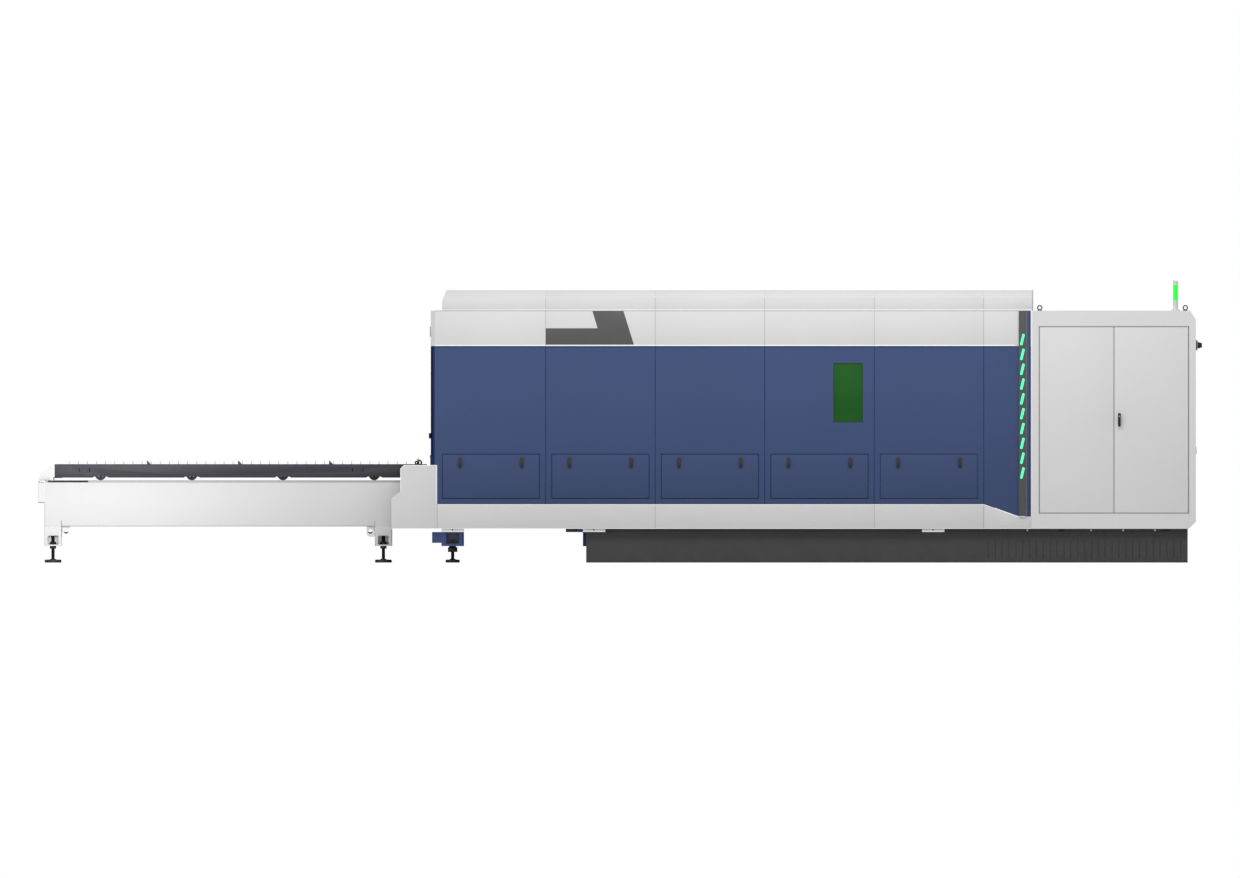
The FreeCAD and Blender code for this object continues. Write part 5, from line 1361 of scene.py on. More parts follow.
class LASER_OT_chains(bpy.types.Operator):
    """Pallet chains: link plates on rollers, laid round the sprockets and along both runs, with their idlers"""
    bl_idname = "laser.chains"
    bl_label = "Chains"

    def execute(self, context):
        low, high = place("drive_chains")
        z = (low.z + high.z) / 2
        radius = 69.0
        x0, x1 = low.x + 76, high.x - 76
        run = x1 - x0
        path = 2 * run + 2 * math.pi * radius
        pitch = sizes().link / MM
        count = 2 * round(path / pitch / 2)
        pitch = path / count

        def spot(along):
            along = along % path
            if along < run:
                return Vector((x0 + along, 0, z + radius))
            along -= run
            if along < math.pi * radius:
                a = math.pi / 2 - along / radius
                return Vector((x1 + radius * math.cos(a), 0, z + radius * math.sin(a)))
            along -= math.pi * radius
            if along < run:
                return Vector((x1 - along, 0, z - radius))
            a = -math.pi / 2 - (along - run) / radius
            return Vector((x0 + radius * math.cos(a), 0, z + radius * math.sin(a)))

        middle = low.y + 8
        links = {}
        for kind, reach in (("inner", 4.2), ("outer", 6.0)):
            plates = []
            for side in (-1, 1):
                y0 = side * reach - 0.9
                plates.append(side_profile("plate", rounded([
                    (-pitch / 2 - 5, -5, 4.8), (0, -3.6, 0), (pitch / 2 + 5, -5, 4.8), (pitch / 2 + 5, 5, 4.8),
                    (0, 3.6, 0), (-pitch / 2 - 5, 5, 4.8)], 2), y0, y0 + 1.8))
            if kind == "outer":
                plates += [drum("pin", (x, -7.4, 0), Y, 2.6, 14.8, 8) for x in (-pitch / 2, pitch / 2)]
            else:
                plates += [drum("roller", (x, -3.2, 0), Y, 4.6, 6.4, 8) for x in (-pitch / 2, pitch / 2)]
            links[kind] = join(f"{kind}_link", plates)
        made = []
        for n in range(count):
            a, b = spot(pitch * n), spot(pitch * (n + 1))
            along = (b - a).normalized()
            turn = Matrix.Rotation(-math.atan2(along.z, along.x), 4, "Y")
            source = links["inner" if n % 2 else "outer"]
            link = moved_copy(source, f"link_{n}")
            centre = (a + b) / 2 + Vector((0, middle, 0))
            link.data.transform(Matrix.Translation(centre * MM) @ turn)
            made.append(link)
        pick(*links.values())
        bpy.ops.object.delete()
        dress(mirrored("pallet_chains", made), "chain_steel", node="drive_chains", smooth=0)
        idlers = []
        for side in (-1, 1):
            y = side * abs(middle)
            out = Vector((0, side, 0))
            idlers.append(lathe("idler", (x1, y - side * 6, z), out, [
                (0, 0), (58, 0), (61.5, 2), (61.5, 10), (58, 12), (50, 12), (48, 9), (26, 9), (24, 16), (0, 16)],
                40))
            idlers.append(drum("post", (x1, y, z), out, 20, 940 - abs(middle), 24, 2))
        dress(join("chain_idlers", idlers), "wheel_steel")
        return {"FINISHED"}


class LASER_OT_drive(bpy.types.Operator):
    """Pallet drive: toothed sprockets on the cross shaft, gearbox, finned motor and its terminal box"""
    bl_idname = "laser.drive"
    bl_label = "Pallet drive"

    def execute(self, context):
        low, high = place("drive_shaft")
        x, z = (low.x + high.x) / 2, (low.z + high.z) / 2
        radius, teeth = 61.8, 16
        outline = []
        for k in range(teeth):
            for share, depth in ((0.0, 9), (0.18, 6.5), (0.36, 0), (0.64, 0), (0.82, 6.5)):
                a, r = (k + share) * math.tau / teeth, radius - depth
                outline.append((x + r * math.cos(a), z + r * math.sin(a)))
        disc = side_profile("sprocket", outline, -919, -907, 0.8)
        holes = [drum("hole", (x + 38 * math.cos(a), -925, z + 38 * math.sin(a)), Y, 8, 25, 16)
                 for a in [math.tau * k / 6 for k in range(6)]]
        cut(disc, *holes)
        hub = lathe("hub", (x, -905, z), -Y, [
            (0, 0), (34, 0), (34, 10), (30, 14), (30, 22), (20, 24), (20, 34), (0, 34)], 32)
        wheels = mirrored("drive_sprockets", [disc, hub])
        shaft = lathe("shaft", (x, -904, z), Y, [(0, 0), (20, 0), (20, 1808), (0, 1808)], 32)
        keys = [lathe("shaft_ring", (x, y, z), Y, [(20, 0), (25, 0), (26, 1), (26, 11), (25, 12), (20, 12)], 32)
                for y in (-120, 108, -890, 878)]
        dress(wheels, "wheel_steel", node="drive_shaft", body="pallet_shaft")
        dress(join("drive_cross_shaft", [shaft] + keys), "bright_steel", body="pallet_shaft")

        low, high = place("drive_motor")
        body = block("gearbox", (low.x, high.x), (low.y, low.y + 160), (low.z, high.z), 6, 3)
        rib = block("rib", (low.x + 4, high.x - 4), (low.y + 20, low.y + 28), (high.z - 6, high.z), 1.5)
        row(rib, 5, (0, 28, 0))
        x, z = (low.x + high.x) / 2, low.z + 34
        flange = drum("flange", (x, low.y + 158, z), Y, 33.5, 12, 32, 2)
        barrel = drum("barrel", (x, low.y + 170, z), Y, 28, 172, 32, 3)
        fins = []
        for k in range(18):
            fin = block("fin", (x - 1.2, x + 1.2), (low.y + 178, low.y + 330), (z + 26, z + 33.5), 0.6)
            centre = Vector((x, 0, z)) * MM
            fin.data.transform(Matrix.Translation(centre) @ Matrix.Rotation(math.tau * k / 18, 4, "Y")
                               @ Matrix.Translation(-centre))
            fins.append(fin)
        cowl = lathe("cowl", (x, low.y + 340, z), Y, [
            (0, 0), (33.5, 0), (33.5, 40), (31, 46), (25, 48), (23, 46), (0, 46)], 32)
        box = block("terminal_box", (x - 24, x + 24), (low.y + 200, low.y + 270), (z + 31, z + 62), 3, 3)
        motor = join("pallet_motor", [body, rib, flange, barrel, cowl, box] + fins)
        dress(motor, "motor_grey", node="drive_motor")
        seats = [(x + dx, low.y + 1, zz) for dx in (-25, 25) for zz in (low.z + 16, high.z - 14)]
        dress(bolts("gearbox_bolts", seats, -Y, 5, 5), "zinc")
        return {"FINISHED"}


# ---------------------------------------------------------------- electrical cabinet

class LASER_OT_cabinet_doors(bpy.types.Operator):
    """Cabinet doors: trays with rolled edges and stiffeners, rubber seals in the gaps, and grooves"""
    bl_idname = "laser.cabinet_doors"
    bl_label = "Cabinet doors"

    def execute(self, context):
        left, right = place("cabinet_door_left"), place("cabinet_door_right")
        z = (left[0].z, left[1].z)
        y = left[0].y
        for side, (low, high) in (("left", left), ("right", right)):
            leaf = block("leaf", (low.x, high.x), (y + 0.6, high.y), z)
            sink(leaf, Y, 3, 16.4)
            round_edges(leaf, 1.3, 3)
            ribs = []
            for share in (0.25, 0.5, 0.75):
                middle = low.x + (high.x - low.x) * share
                rib = block("rib", (middle - 18, middle + 18), (y + 3, y + 13), (z[0] + 60, z[1] - 60), 1.5)
                sink(rib, Y, 3, 9)
                ribs.append(rib)
            piece = join(f"cabinet_leaf_{side}", [leaf] + ribs)
            dress(piece, "fascia_white", node=f"cabinet_door_{side}", body=f"{side}_leaf")
            groove = surround(f"leaf_groove_{side}", (low.x + 4.5, high.x - 4.5), (y, y + 1.5),
                              (z[0] + 4.5, z[1] - 4.5), 3.6, 0.4)
            dress(groove, "groove_grey", body=f"{side}_leaf")
        x = (left[0].x, right[1].x)
        groove = surround("doorway_groove", (x[0] - 5.5, x[1] + 5.5), (y - 0.5, y + 1), (z[0] - 5.5, z[1] + 5.5),
                          4.5, 0.4)
        dress(groove, "groove_grey")
        gap = (y + 3.5, y + 7)
        seals = [block("seal", (x[0] - 0.9, x[1] + 0.9), gap, run, 0.5)
                 for run in ((z[0] - 5.5, z[0] - 0.9), (z[1] + 0.9, z[1] + 5.5))]
        dress(join("doorway_seal", seals), "rubber_grey")
        tall = (z[0] + 6, z[1] - 6)
        meet = block("meet", (left[1].x - 4, left[1].x + 5), gap, tall, 1.0)
        strip = block("strip", (x[0] - 2.6, x[0] + 1), gap, tall, 0.4)
        dress(join("leaf_seal_left", [meet, strip]), "rubber_grey", body="left_leaf")
        strip = block("leaf_seal_right", (x[1] - 1, x[1] + 2.6), gap, tall, 0.4)
        dress(strip, "rubber_grey", body="right_leaf")
        return {"FINISHED"}


class LASER_OT_handle(bpy.types.Operator):
    """Swing handle of the cabinet: black grip on a long escutcheon, lock cylinder, shaft and cam"""
    bl_idname = "laser.handle"
    bl_label = "Cabinet handle"

    def execute(self, context):
        low, high = place("door_handle")
        x, y, z = (low.x + high.x) / 2, low.y, 1214.0
        plate = capsule("plate", x, z - 29, 22, 115, -1355, -1350.5, edge=1.2)
        grip = capsule("grip", x, z - 32, 19, 106, y, y + 13, edge=4.0, segments=4)
        sink(grip, -Y, 2.5, 1.5)
        neck = drum("neck", (x, y + 10, z), Y, 9, 20, 24, 2)
        foot = drum("foot", (x, y + 12, z - 74), Y, 7, 14, 20, 2)
        shaft = drum("shaft", (x, -1352, z), Y, 7, 26, 16, 1)
        cam = side_profile("cam", rounded(oblong((x - 8, x + 8), (z - 8, high.z), 7)), high.y - 4, high.y, 0.8)
        piece = join("swing_handle", [plate, grip, neck, foot, shaft, cam])
        dress(piece, "black_parts", node="door_handle", body="leaf_handle")
        key = lathe("key_barrel", (x, y + 1.6, z), -Y, [
            (0, 0), (5.5, 0), (5.5, 1.2), (4.5, 1.6), (1.6, 1.6), (1.6, 0.8), (0, 0.8)], 20)
        dress(key, "zinc", body="leaf_handle")
        return {"FINISHED"}


class LASER_OT_cabinet_top(bpy.types.Operator):
    """Lifting eyes and the tower light: conical foot, tube, ribbed lens and slanted cap"""
    bl_idname = "laser.cabinet_top"
    bl_label = "Lifting eyes and tower light"

    def execute(self, context):
        low, high = place("eye_bolts")
        z0 = low.z
        eyes = []
        for x in (low.x + 22, high.x - 22):
            eyes.append(ring("eye", (x, -1230, high.z - 22), Y, 17.5, 4.8, 40))
            eyes.append(lathe("collar", (x, -1230, z0), Z, [
                (0, 0), (20, 0), (20, 3), (16, 5.5), (8, 6.5), (6, 9), (0, 9)], 32))
        dress(mirrored("lifting_eyes", eyes), "black_parts", node="eye_bolts")

        low, high = place("tower_light_base")
        x, y = (low.x + high.x) / 2, (low.y + high.y) / 2
        foot = lathe("foot", (x, y, z0), Z, [
            (0, 0), (36.5, 0), (36.5, 4), (30, 9), (23, 13), (21.5, 15), (21.5, 79), (19.5, 81), (19.5, 84), (0, 84)],
            40)
        cap_foot = 2308.6
        cap = drum("cap", (x, y, cap_foot), Z, 21.5, 36, 40)
        slice_off(cap, (x, y, cap_foot + 32), (0.18, 0, 1), clear_outer=True)
        round_edges(cap, 1.5, 3)
        turns = [math.pi / 4 * k for k in (1, 3, 5, 7)]
        screws = bolts("screws", [(x + 29 * math.cos(a), y + 29 * math.sin(a), z0 + 4) for a in turns], Z, 2.6, 3)
        piece = join("tower_foot", [foot, cap, screws])
        dress(piece, "tower_grey", node="tower_light_base")

        low, high = place("tower_light_lens")
        outline = [(0, 0), (20.5, 0)]
        count = 22
        step = (high.z - low.z) / count
        for k in range(count):
            outline += [(20.6, step * (k + 0.1)), (21.5, step * (k + 0.5)), (20.6, step * (k + 0.9))]
        outline += [(20.5, high.z - low.z), (0, high.z - low.z)]
        lens = lathe("tower_lens", (x, y, low.z), Z, outline, 40)
        dress(lens, "tower_green", node="tower_light_lens")
        return {"FINISHED"}


class LASER_OT_switch(bpy.types.Operator):
    """Main switch on the cabinet's side: square black flange, stepped knob with grips, and a small catch"""
    bl_idname = "laser.switch"
    bl_label = "Main switch"

    def execute(self, context):
        low, high = place("switch_knob")
        y, z = (low.y + high.y) / 2, (low.z + high.z) / 2
        wall = 4779.5
        flange = end_profile("switch_flange", rounded(oblong((y - 45, y + 45), (z - 45, z + 45), 8)),
                             wall, wall + 14.8, 2.5, 3)
        dress(flange, "black_parts")
        knob = lathe("knob", (low.x, y, z), X, [
            (0, 0), (27, 0), (27, 4), (25, 6), (25, 10), (22.5, 12), (22.5, 20), (20, 23), (0, 23)], 36)
        grip = block("grip", (low.x + 15, high.x), (y - 7, y + 7), (z - 20, z + 20), 2.5, 3)
        teeth = []
        for k in range(12):
            a = math.tau * k / 12
            teeth.append(drum("tooth", (low.x + 11, y + 23 * math.cos(a), z + 23 * math.sin(a)), X, 2.6, 10, 8, 0.8))
        piece = join("switch_turning_knob", [knob, grip] + teeth)
        dress(piece, "black_parts", node="switch_knob", body="main_switch")
        catch = block("side_catch", (wall, wall + 6.5), (-1290, -1262), (905, 962), 2, 3)
        pin = drum("catch_pin", (wall + 4.5, -1276, 905), Z, 3.5, 10, 16, 1)
        dress(join("side_catch", [catch, pin]), "zinc")
        return {"FINISHED"}


class LASER_OT_cabinet_shell(bpy.types.Operator):
    """Cabinet details: a left rim of painted highlight, a joint, rear louvres, rear screws and a cable gland plate"""
    bl_idname = "laser.cabinet_shell"
    bl_label = "Cabinet shell"

    def execute(self, context):
        low, high = place("cabinet_shell")
        y, outer, foot, top = low.y, 4780.0, 382, 2091.6
        # The light strip at the cabinet's left edge is a painted highlight.
        rim = block("cabinet_rim", (low.x, low.x + 12), (y - 0.7, y + 1), (foot + 2, top), 0.5)
        dress(rim, "trim_white")
        joint = block("cabinet_joint", (low.x, low.x + 4), (y - 0.5, y + 1), (low.z, foot), 0.4)
        dress(joint, "groove_grey")
        louvres = []
        for column in (3700, 4250):
            fin = end_profile("fin", [
                (high.y - 1, 1500), (high.y + 5.5, 1494), (high.y + 6, 1489), (high.y - 1, 1489)],
                column, column + 260, 0.8)
            row(fin, 12, (0, 0, -26))
            louvres.append(fin)
        plate = block("gland_plate", (3900, 4300), (high.y - 2, high.y + 1), (340, 480), 0.8)
        glands = [lathe("gland", (3950 + 60 * k, high.y + 0.8, 410), Y, [
            (0, 0), (18, 0), (18, 1.6), (14, 2.2), (14, 4), (11, 5), (0, 5)], 24) for k in range(6)]
        dress(join("rear_louvres", louvres), "fascia_white")
        dress(join("rear_glands", [plate] + glands), "zinc")
        across = (low.x + 25, (low.x + outer) / 2, outer - 25)
        seats = [(x, high.y, z) for x in across for z in (420, 900, 1400, 1950)]
        dress(bolts("rear_screws", seats, Y, 6, 4), "zinc")
        return {"FINISHED"}


class LASER_OT_gear(bpy.types.Operator):
    """Inside the cabinet: servo drives with fins and terminals, breakers, wiring ducts on the mounting plate"""
    bl_idname = "laser.gear"
    bl_label = "Cabinet gear"

    def execute(self, context):
        low, high = place("cabinet_gear")
        face = high.y - 60
        plate = block("plate", (low.x, high.x), (face, face + 4), (370.5, high.z), 1.2)
        brackets = [block("bracket", (x, x + 60), (face + 4, high.y), (low.z, 570.5), 2)
                    for x in (low.x + 40, high.x - 100)]
        dress(join("mounting_plate", [plate] + brackets), "zinc", node="cabinet_gear")

        width, gap = 120.0, (high.x - low.x - 600) / 6
        top = high.z - 120
        x = low.x + gap
        body = block("drive", (x, x + width), (face - 190, face), (top - 360, top), 4, 3)
        front = block("drive_front", (x + 8, x + width - 8), (face - 190.5, face - 184), (top - 150, top - 20), 2)
        screen = block("screen", (x + 30, x + 90), (face - 191, face - 186), (top - 70, top - 40), 1)
        terminals = block("terminal", (x + 14, x + 24), (face - 190.8, face - 182), (top - 330, top - 310), 1)
        row(terminals, 8, (11.7, 0, 0))
        fin = block("fin", (x - 0.8, x + width + 0.8), (face - 180, face - 20), (top - 356, top - 354), 0.5)
        row(fin, 12, (0, 0, 14))
        drive = join("servo_drives", [body, front, terminals, fin])
        row(drive, 5, (width + gap, 0, 0))
        row(screen, 5, (width + gap, 0, 0))
        dress(drive, "gear_grey")
        dress(screen, "seam_dark")

        rail = block("rail", (x, high.x - gap), (face - 8, face), (832, 848), 1)
        breaker = side_profile("breaker", rounded(oblong((x, x + 17), (790.5, 890.5), 2), 2), face - 55, face - 6, 1)
        nose = block("nose", (x + 1, x + 16), (face - 70, face - 54), (815, 865), 1.5)
        breakers = join("breaker", [breaker, nose])
        pitch = 18
        count = int((high.x - low.x - 2 * gap) / pitch)
        row(breakers, count, (pitch, 0, 0))
        toggle = block("toggle", (x + 5, x + 12), (face - 76, face - 69), (838, 850), 1)
        row(toggle, count, (pitch, 0, 0))
        dress(join("breakers", [breakers, rail]), "gear_white")
        dress(toggle, "black_parts")

        ducts = []
        for z in (700, 980, 1370):
            duct = block("duct", (low.x + 30, high.x - 30), (face - 60, face), (z, z + 60), 2)
            slot = block("slot", (low.x + 40, low.x + 46), (face - 61, face - 20), (z - 1, z + 20))
            row(slot, 88, (12.5, 0, 0))
            ducts.append(cut(duct, slot))
        dress(join("wiring_ducts", ducts), "gear_white")
        return {"FINISHED"}


class LASER_OT_source(bpy.types.Operator):
    """Laser source: black case with a grooved front, bar handles and a round connector"""
    bl_idname = "laser.source"
    bl_label = "Laser source"

    def execute(self, context):
        low, high = place("laser_source")
        y = low.y + 34
        case = block("case", (low.x, high.x), (y, high.y), (low.z, high.z), 5, 3)
        groove = block("groove", (low.x + 60, high.x - 60), (y - 2, y + 3), (high.z - 40, high.z - 36))
        row(groove, 6, (0, 0, -12))
        cut(case, groove)
        ear = block("ear", (low.x - 0.5, high.x + 0.5), (y - 0.6, y + 3), (low.z + 14, low.z + 30), 1)
        handles = []
        for x in (low.x + 47, high.x - 47):
            for z in (low.z + 127, low.z + 293):
                handles.append(drum("post", (x, y + 1, z), -Y, 6, 28, 16, 1))
            handles.append(drum("bar", (x, low.y + 7, low.z + 120), Z, 7, 180, 20, 2))
        dress(join("source_case", [case, ear]), "source_black", node="laser_source")
        dress(join("source_handles", handles), "bright_steel")
        plug = lathe("source_plug", ((low.x + high.x) / 2, y, low.z + 90), -Y, [
            (0, 0), (26, 0), (26, 5), (20, 6), (20, 22), (17, 25), (0, 25)], 32)
        dress(plug, "zinc")
        return {"FINISHED"}


# ---------------------------------------------------------------- bed, gantry and head

class LASER_OT_bed(bpy.types.Operator):
    """Details of the bed: foot plates and screws, block recesses and sides, hand-hole covers and hanger"""
    bl_idname = "laser.bed"
    bl_label = "Bed details"

    def execute(self, context):
        # The bed frame gets the brightened blue: painted light against the shade under the covers.
        coat(frame["nodes"]["bed_frame"], "bed_blue")
        low = place("bed_frame")[0]
        y = -1160.0
        feet = [low.x + 171, low.x + 1345, low.x + 4160]
        plates = [block("plate", (x - 93, x + 93), (y - 180, y + 3), (254, 279.5), 1.2) for x in feet]
        dress(mirrored("foot_plates", plates), "trim_white")
        seats = [(x - 2, y - 180, 272) for x in feet]
        dress(both_sides(bolts("plate_screws", seats, -Y, 4.5, 4)), "black_parts")
        rings = [lathe("ring", (x, y + 12, 171), -Y, [(7, 0), (18, 0), (19, 2), (19, 8), (15, 10), (8, 10)], 24)
                 for x in feet]
        dress(mirrored("foot_rings", rings), "black_parts")
        recess = [block("recess", (x - 52, x + 52), (y + 3, y + 178), (158, 243)) for x in feet]
        for piece in recess:
            sink(piece, -Y, 1.2, 22)
            round_edges(piece, 0.3, 1)
        dress(mirrored("foot_recesses", recess), "recess_blue")
        side = block("foot_sides", (feet[0] + 84, feet[0] + 93.8), (y - 0.8, y + 3), (137, 281), 0.8)
        dress(both_sides(side), "corner_navy")

        starts = [low.x + 380 + 600 * k for k in range(7)]
        covers = [side_profile("hand_cover", rounded(oblong((x, x + 200), (380, 520), 20)), y - 4, y + 1, 1.2)
                  for x in starts]
        dress(mirrored("hand_covers", covers), "panel_blue")
        heads = [(x + dx, y - 3.6, z) for x in starts for dx in (15, 185) for z in (395, 505)]
        dress(both_sides(bolts("cover_screws", heads, -Y, 5, 4)), "zinc")

        hung = (-1330, -1250)
        hanger = block("hanger", (-450, -352), hung, (253, 281), 2)
        dress(both_sides(hanger), "black_parts")
        bracket = side_profile("hanger_bracket", rounded(oblong((-352, -308), (252, 281), 2, 0), 3), *hung, 1.5)
        dress(both_sides(bracket), "panel_blue")
        plate = block("plinth_side", (-308, -281.5), (-1288, -1250), (136, 256), 1.5)
        dress(both_sides(plate), "frame_blue")
        screw = bolts("bracket_screw", [(-293, -1288, 268)], -Y, 6, 4)
        dress(both_sides(screw), "trim_white")
        return {"FINISHED"}


class LASER_OT_rails(bpy.types.Operator):
    """Linear rails with their screw caps and the toothed racks beside them"""
    bl_idname = "laser.rails"
    bl_label = "Rails and racks"

    def execute(self, context):
        low, high = place("gantry_rails")
        y, z = -1050.0, 640.0
        rail = end_profile("rail", rounded([
            (y - 14, z, 1), (y + 14, z, 1), (y + 14, z + 9, 0), (y + 8.4, z + 13.5, 3), (y + 14, z + 22.5, 0),
            (y + 14, z + 30, 2), (y - 14, z + 30, 2), (y - 14, z + 22.5, 0), (y - 8.4, z + 13.5, 3),
            (y - 14, z + 9, 0)], 3), low.x, high.x, 0)
        cap = lathe("cap", (low.x + 40, y, z + 29.6), Z, [(0, 0), (7, 0), (7, 0.7), (5.5, 1.0), (0, 1.0)], 12)
        row(cap, int((high.x - low.x - 80) / 80) + 1, (80, 0, 0))
        dress(both_sides(rail), "bright_steel", node="gantry_rails")
        dress(both_sides(cap), "zinc")
        back = block("rack_back", (low.x, high.x), (-1174, -1160), (616, 640), 1)
        pitch = 6.3
        tooth = profile("tooth", [(low.x, -1173.5, 617), (low.x + 4.9, -1173.5, 617), (low.x + 3.4, -1180, 617),
                                  (low.x + 1.5, -1180, 617)], (0, 0, 22))
        row(tooth, int((high.x - low.x) / pitch), (pitch, 0, 0))
        dress(mirrored("racks", [back, tooth]), "wheel_steel", smooth=0)
        return {"FINISHED"}


class LASER_OT_gantry(bpy.types.Operator):
    """Gantry: rounded cross beam with screws, end carriages, bearing lips and wipers, cross rails and motors"""
    bl_idname = "laser.gantry"
    bl_label = "Gantry"

    def execute(self, context):
        low, high = place("gantry_beam")
        x, reach = (low.x + high.x) / 2, high.y
        z0, z1, deck, side_line = 960.0, 1260.0, 760, 1050
        web = (x - 120, x + 120)
        parts = [end_profile("beam", rounded([
            (-reach, z0, 6), (reach, z0, 6), (reach, z1 - 40, 10), (reach - 40, z1, 10), (40 - reach, z1, 10),
            (-reach, z1 - 40, 10)], 4), *web, 4, 3)]
        for start in (-900, -460, 200, 640):
            parts.append(block("window", (x - 60, x + 60), (start, start + 260), (z1 - 1, z1 + 4), 1))
        for side in (-1, 1):
            y0, y1 = sorted((side * 975, side * reach))
            parts.append(block("carriage", (x - 260, x + 260), (y0, y1), (670.4, 760.4), 6, 3))
            parts.append(end_profile("leg", [(y0, deck), (y1, deck), (y1, z0 + 1), (y0, z0 + 1)], *web, 6, 3))
            for start, face in ((x - 185, x - 118), (x + 155, x + 118)):
                parts.append(side_profile("gusset", [
                    (start, deck), (start + 30, deck), (start + 30, deck + 40), (face, 930), (face, deck)],
                    y0 + 60, y0 + 76, 2))
        dress(join("gantry_body", parts), "gantry_grey", node="gantry_beam", body="gantry")

        blocks = []
        for start, wiper in ((x - 260, (x - 262, x - 258)), (x + 200, (x + 258, x + 262))):
            for lip in (-1076.4, -1035.6):
                blocks.append(block("lip", (start, start + 60), (lip, lip + 12), (652.4, 671), 1.5))
            blocks.append(block("wiper", wiper, (-1074, -1026), (671, 690), 0.8))
        rails = [end_profile("cross_rail", [
            (-reach + 20, z), (reach - 20, z), (reach - 20, z + 22), (-reach + 20, z + 22)], x - 142, x - 120, 1.5)
            for z in (z0 + 20, z1 - 42)]
        dress(join("cross_rails", rails + [mirrored("bearing_lips", blocks)]), "bright_steel", body="gantry")
        seats = [(x - 119.5, -1000 + 100 * k, z) for k in range(21) for z in (z0 + 70, z1 - 70)]
        dress(bolts("beam_screws", seats, -X, 5, 4), "zinc", body="gantry")
        motors = []
        for y in (-side_line, side_line):
            motors.append(block("motor_plate", (x - 50, x + 50), (y - 50, y + 50), (1221, 1236), 3))
            motors.append(block("motor", (x + 130, x + 240), (y - 45, y + 45), (765, 880), 5, 3))
            motors.append(drum("motor_end", (x + 185, y, 878), Z, 40, 55, 32, 4))
        dress(join("gantry_motors", motors), "black_parts", body="gantry")
        return {"FINISHED"}


class LASER_OT_carriage(bpy.types.Operator):
    """Cross carriage: machined plate with bolts, hooked cover, slide rails and ball screw"""
    bl_idname = "laser.carriage"
    bl_label = "Cross carriage"

    def execute(self, context):
        low = place("cross_carriage")[0]
        x0, x1 = low.x + 16, low.x + 46
        foot, top = 950, 1320
        plate = block("plate", (x0, x1), (-130, 130), (foot, top), 4, 3)
        cover = side_profile("cover", rounded([
            (x0, top, 0), (x1 + 60, top, 4), (x1 + 60, top + 14, 6), (x1 + 20, top + 60, 10), (x0, top + 60, 8)], 4),
            -130, 130, 2.5, 3)
        plate = join("carriage_plate", [plate, cover])
        dress(plate, "gantry_grey", node="cross_carriage", body="carriage")
        rails = [block("slide_rail", (low.x, x0 + 1), (y - 8, y + 8), (foot, top), 1.5) for y in (-70, 70)]
        rails.append(drum("screw", (x0 - 7, 0, 960), Z, 6, 350, 16, 1))
        dress(join("slide_rails", rails), "bright_steel", body="carriage")
        seats = [(x0 + 0.5, y, z) for y in (-110, 110) for z in (980, 1080, 1180, 1280)]
        dress(bolts("plate_bolts", seats, -X, 6, 5), "zinc", body="carriage")
        return {"FINISHED"}


class LASER_OT_head(bpy.types.Operator):
    """Cutting head: slide plate, sealed body with cover and drawer, focus barrel, nozzle and fibre port"""
    bl_idname = "laser.head"
    bl_label = "Cutting head"

    def execute(self, context):
        low, high = place("cutting_head")
        x, slide, tip = low.x + 55, high.x, low.z
        plate = block("plate", (slide - 12, slide), (-90, 90), (tip + 150, tip + 500), 3, 3)
        body = block("body", (low.x, slide - 11), (-55, 55), (tip + 190, tip + 520), 8, 4)
        cover = block("cover", (low.x - 0.6, low.x + 3), (-42, 42), (tip + 320, tip + 500), 2.5)
        drawer = block("drawer", (low.x - 0.8, low.x + 3), (-36, 36), (tip + 215, tip + 250), 1.5)
        pull = drum("pull", (low.x + 1, 0, tip + 232), -X, 6, 1.9, 16, 0.5)
        seam = block("seam", (low.x + 2, slide - 13), (-55.6, 55.6), (tip + 288, tip + 292), 0.6)
        sealed = join("head_body", [plate, body, cover, drawer])
        dress(sealed, "head_white", node="cutting_head", body="head")
        dress(join("head_dark_parts", [pull, seam]), "seam_dark", body="head")
        barrel = lathe("head_barrel", (x, 0, tip + 30), Z, [
            (14, 0), (22, 0), (24, 6), (30, 32), (30, 70), (33, 72), (33, 84), (30, 86), (30, 96), (40, 118),
            (40, 161), (14, 161)], 40)
        dress(barrel, "bright_steel", body="head")
        nozzle = lathe("head_nozzle", (x, 0, tip), Z, [
            (3.5, 0), (7, 0), (9, 3), (13, 13), (13, 17), (20, 19), (20, 30), (14, 30), (3.5, 26)], 32)
        dress(nozzle, "copper", body="head")
        port = lathe("fibre_port", (x, 0, tip + 519), Z, [
            (0, 0), (26, 0), (26, 12), (22, 14), (22, 46), (26, 48), (26, 62), (18, 66), (18, 86), (12, 91),
            (0, 91)], 32)
        dress(port, "black_parts", body="head")
        return {"FINISHED"}


class LASER_OT_rear(bpy.types.Operator):
    """Rear side: screws along the rear panels"""
    bl_idname = "laser.rear"
    bl_label = "Rear details"

    def execute(self, context):
        y, inset = place("rear_panels")[1].y, 25
        seats = [(x, y, z) for a, b in sheet_spans() for x in (a + inset, b - inset) for z in (530, 1140, 1760)]
        dress(bolts("rear_panel_screws", seats, Y, 6, 4), "zinc")
        return {"FINISHED"}


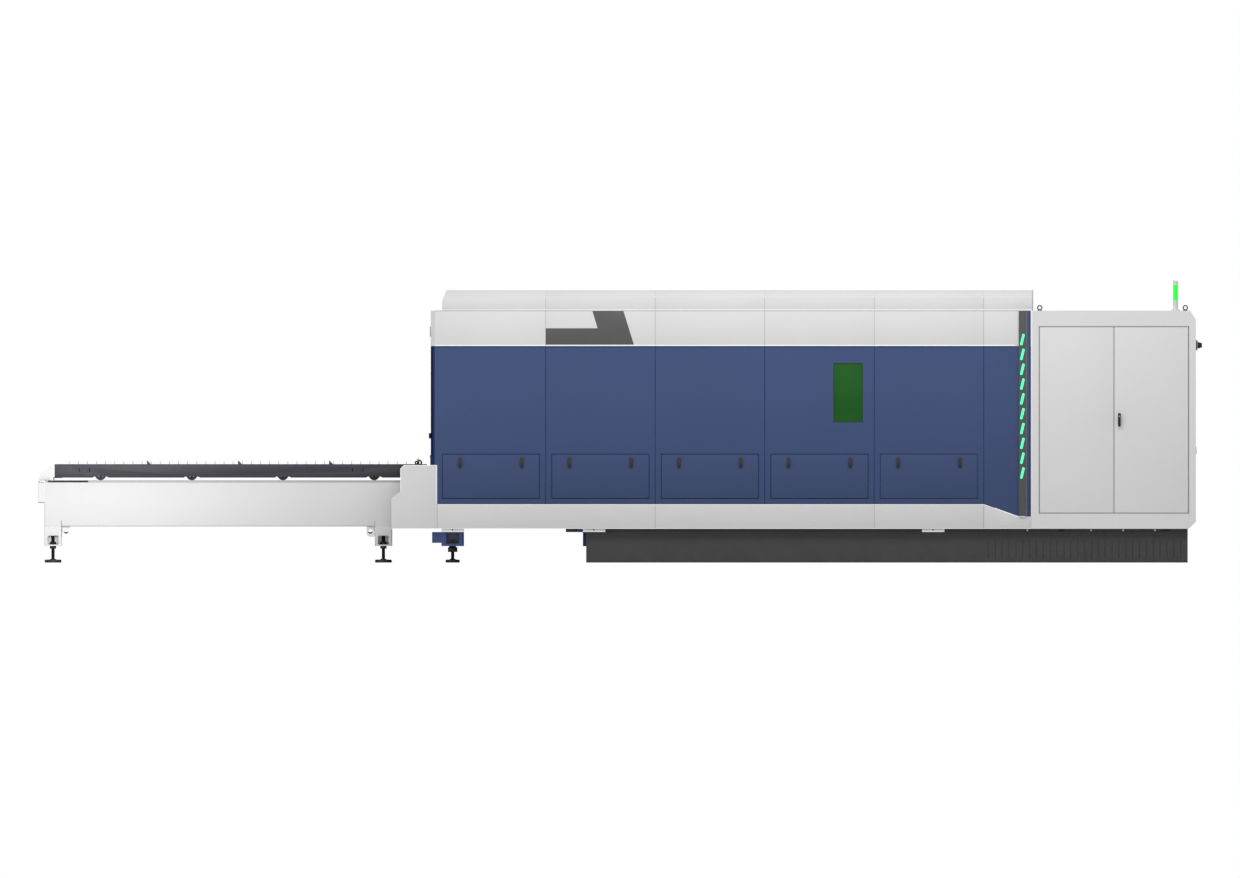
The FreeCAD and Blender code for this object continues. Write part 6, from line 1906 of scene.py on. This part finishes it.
STEPS = [
    LASER_OT_finishes,
    LASER_OT_white_band,
    LASER_OT_roof,
    LASER_OT_flaps,
    LASER_OT_latches,
    LASER_OT_window,
    LASER_OT_light_strip,
    LASER_OT_lower_covers,
    LASER_OT_plinth,
    LASER_OT_port_wall,
    LASER_OT_table,
    LASER_OT_lugs,
    LASER_OT_feet,
    LASER_OT_slats,
    LASER_OT_wheels,
    LASER_OT_pallets,
    LASER_OT_chains,
    LASER_OT_drive,
    LASER_OT_cabinet_doors,
    LASER_OT_handle,
    LASER_OT_cabinet_top,
    LASER_OT_switch,
    LASER_OT_cabinet_shell,
    LASER_OT_gear,
    LASER_OT_source,
    LASER_OT_bed,
    LASER_OT_rails,
    LASER_OT_gantry,
    LASER_OT_carriage,
    LASER_OT_head,
    LASER_OT_rear,
    LASER_OT_stage,
]


class LASER_PT_machine(bpy.types.Panel):
    """Sidebar panel with the machine's settings and its building steps"""
    bl_idname = "LASER_PT_machine"
    bl_label = "Laser machine"
    bl_space_type = "VIEW_3D"
    bl_region_type = "UI"
    bl_category = "Laser machine"

    def draw(self, context):
        for group in (colours(), sizes(), context.scene.laser_studio):
            box = self.layout.box()
            for key in group.bl_rna.properties.keys():
                if key not in ("rna_type", "name"):
                    box.prop(group, key)
        for step in STEPS:
            self.layout.operator(step.bl_idname)


GROUPS = [PaintColours, DetailSizes, StudioSettings]


def register():
    for item in GROUPS + STEPS + [LASER_PT_machine]:
        bpy.utils.register_class(item)
    bpy.types.Scene.laser_colours = bpy.props.PointerProperty(type=PaintColours)
    bpy.types.Scene.laser_sizes = bpy.props.PointerProperty(type=DetailSizes)
    bpy.types.Scene.laser_studio = bpy.props.PointerProperty(type=StudioSettings)


def unregister():
    del bpy.types.Scene.laser_studio
    del bpy.types.Scene.laser_sizes
    del bpy.types.Scene.laser_colours
    for item in reversed(GROUPS + STEPS + [LASER_PT_machine]):
        bpy.utils.unregister_class(item)


def main():
    register()
    for step in STEPS:
        group, action = step.bl_idname.split(".")
        getattr(getattr(bpy.ops, group), action)()
    clear()


if __name__ == "__main__":
    main()
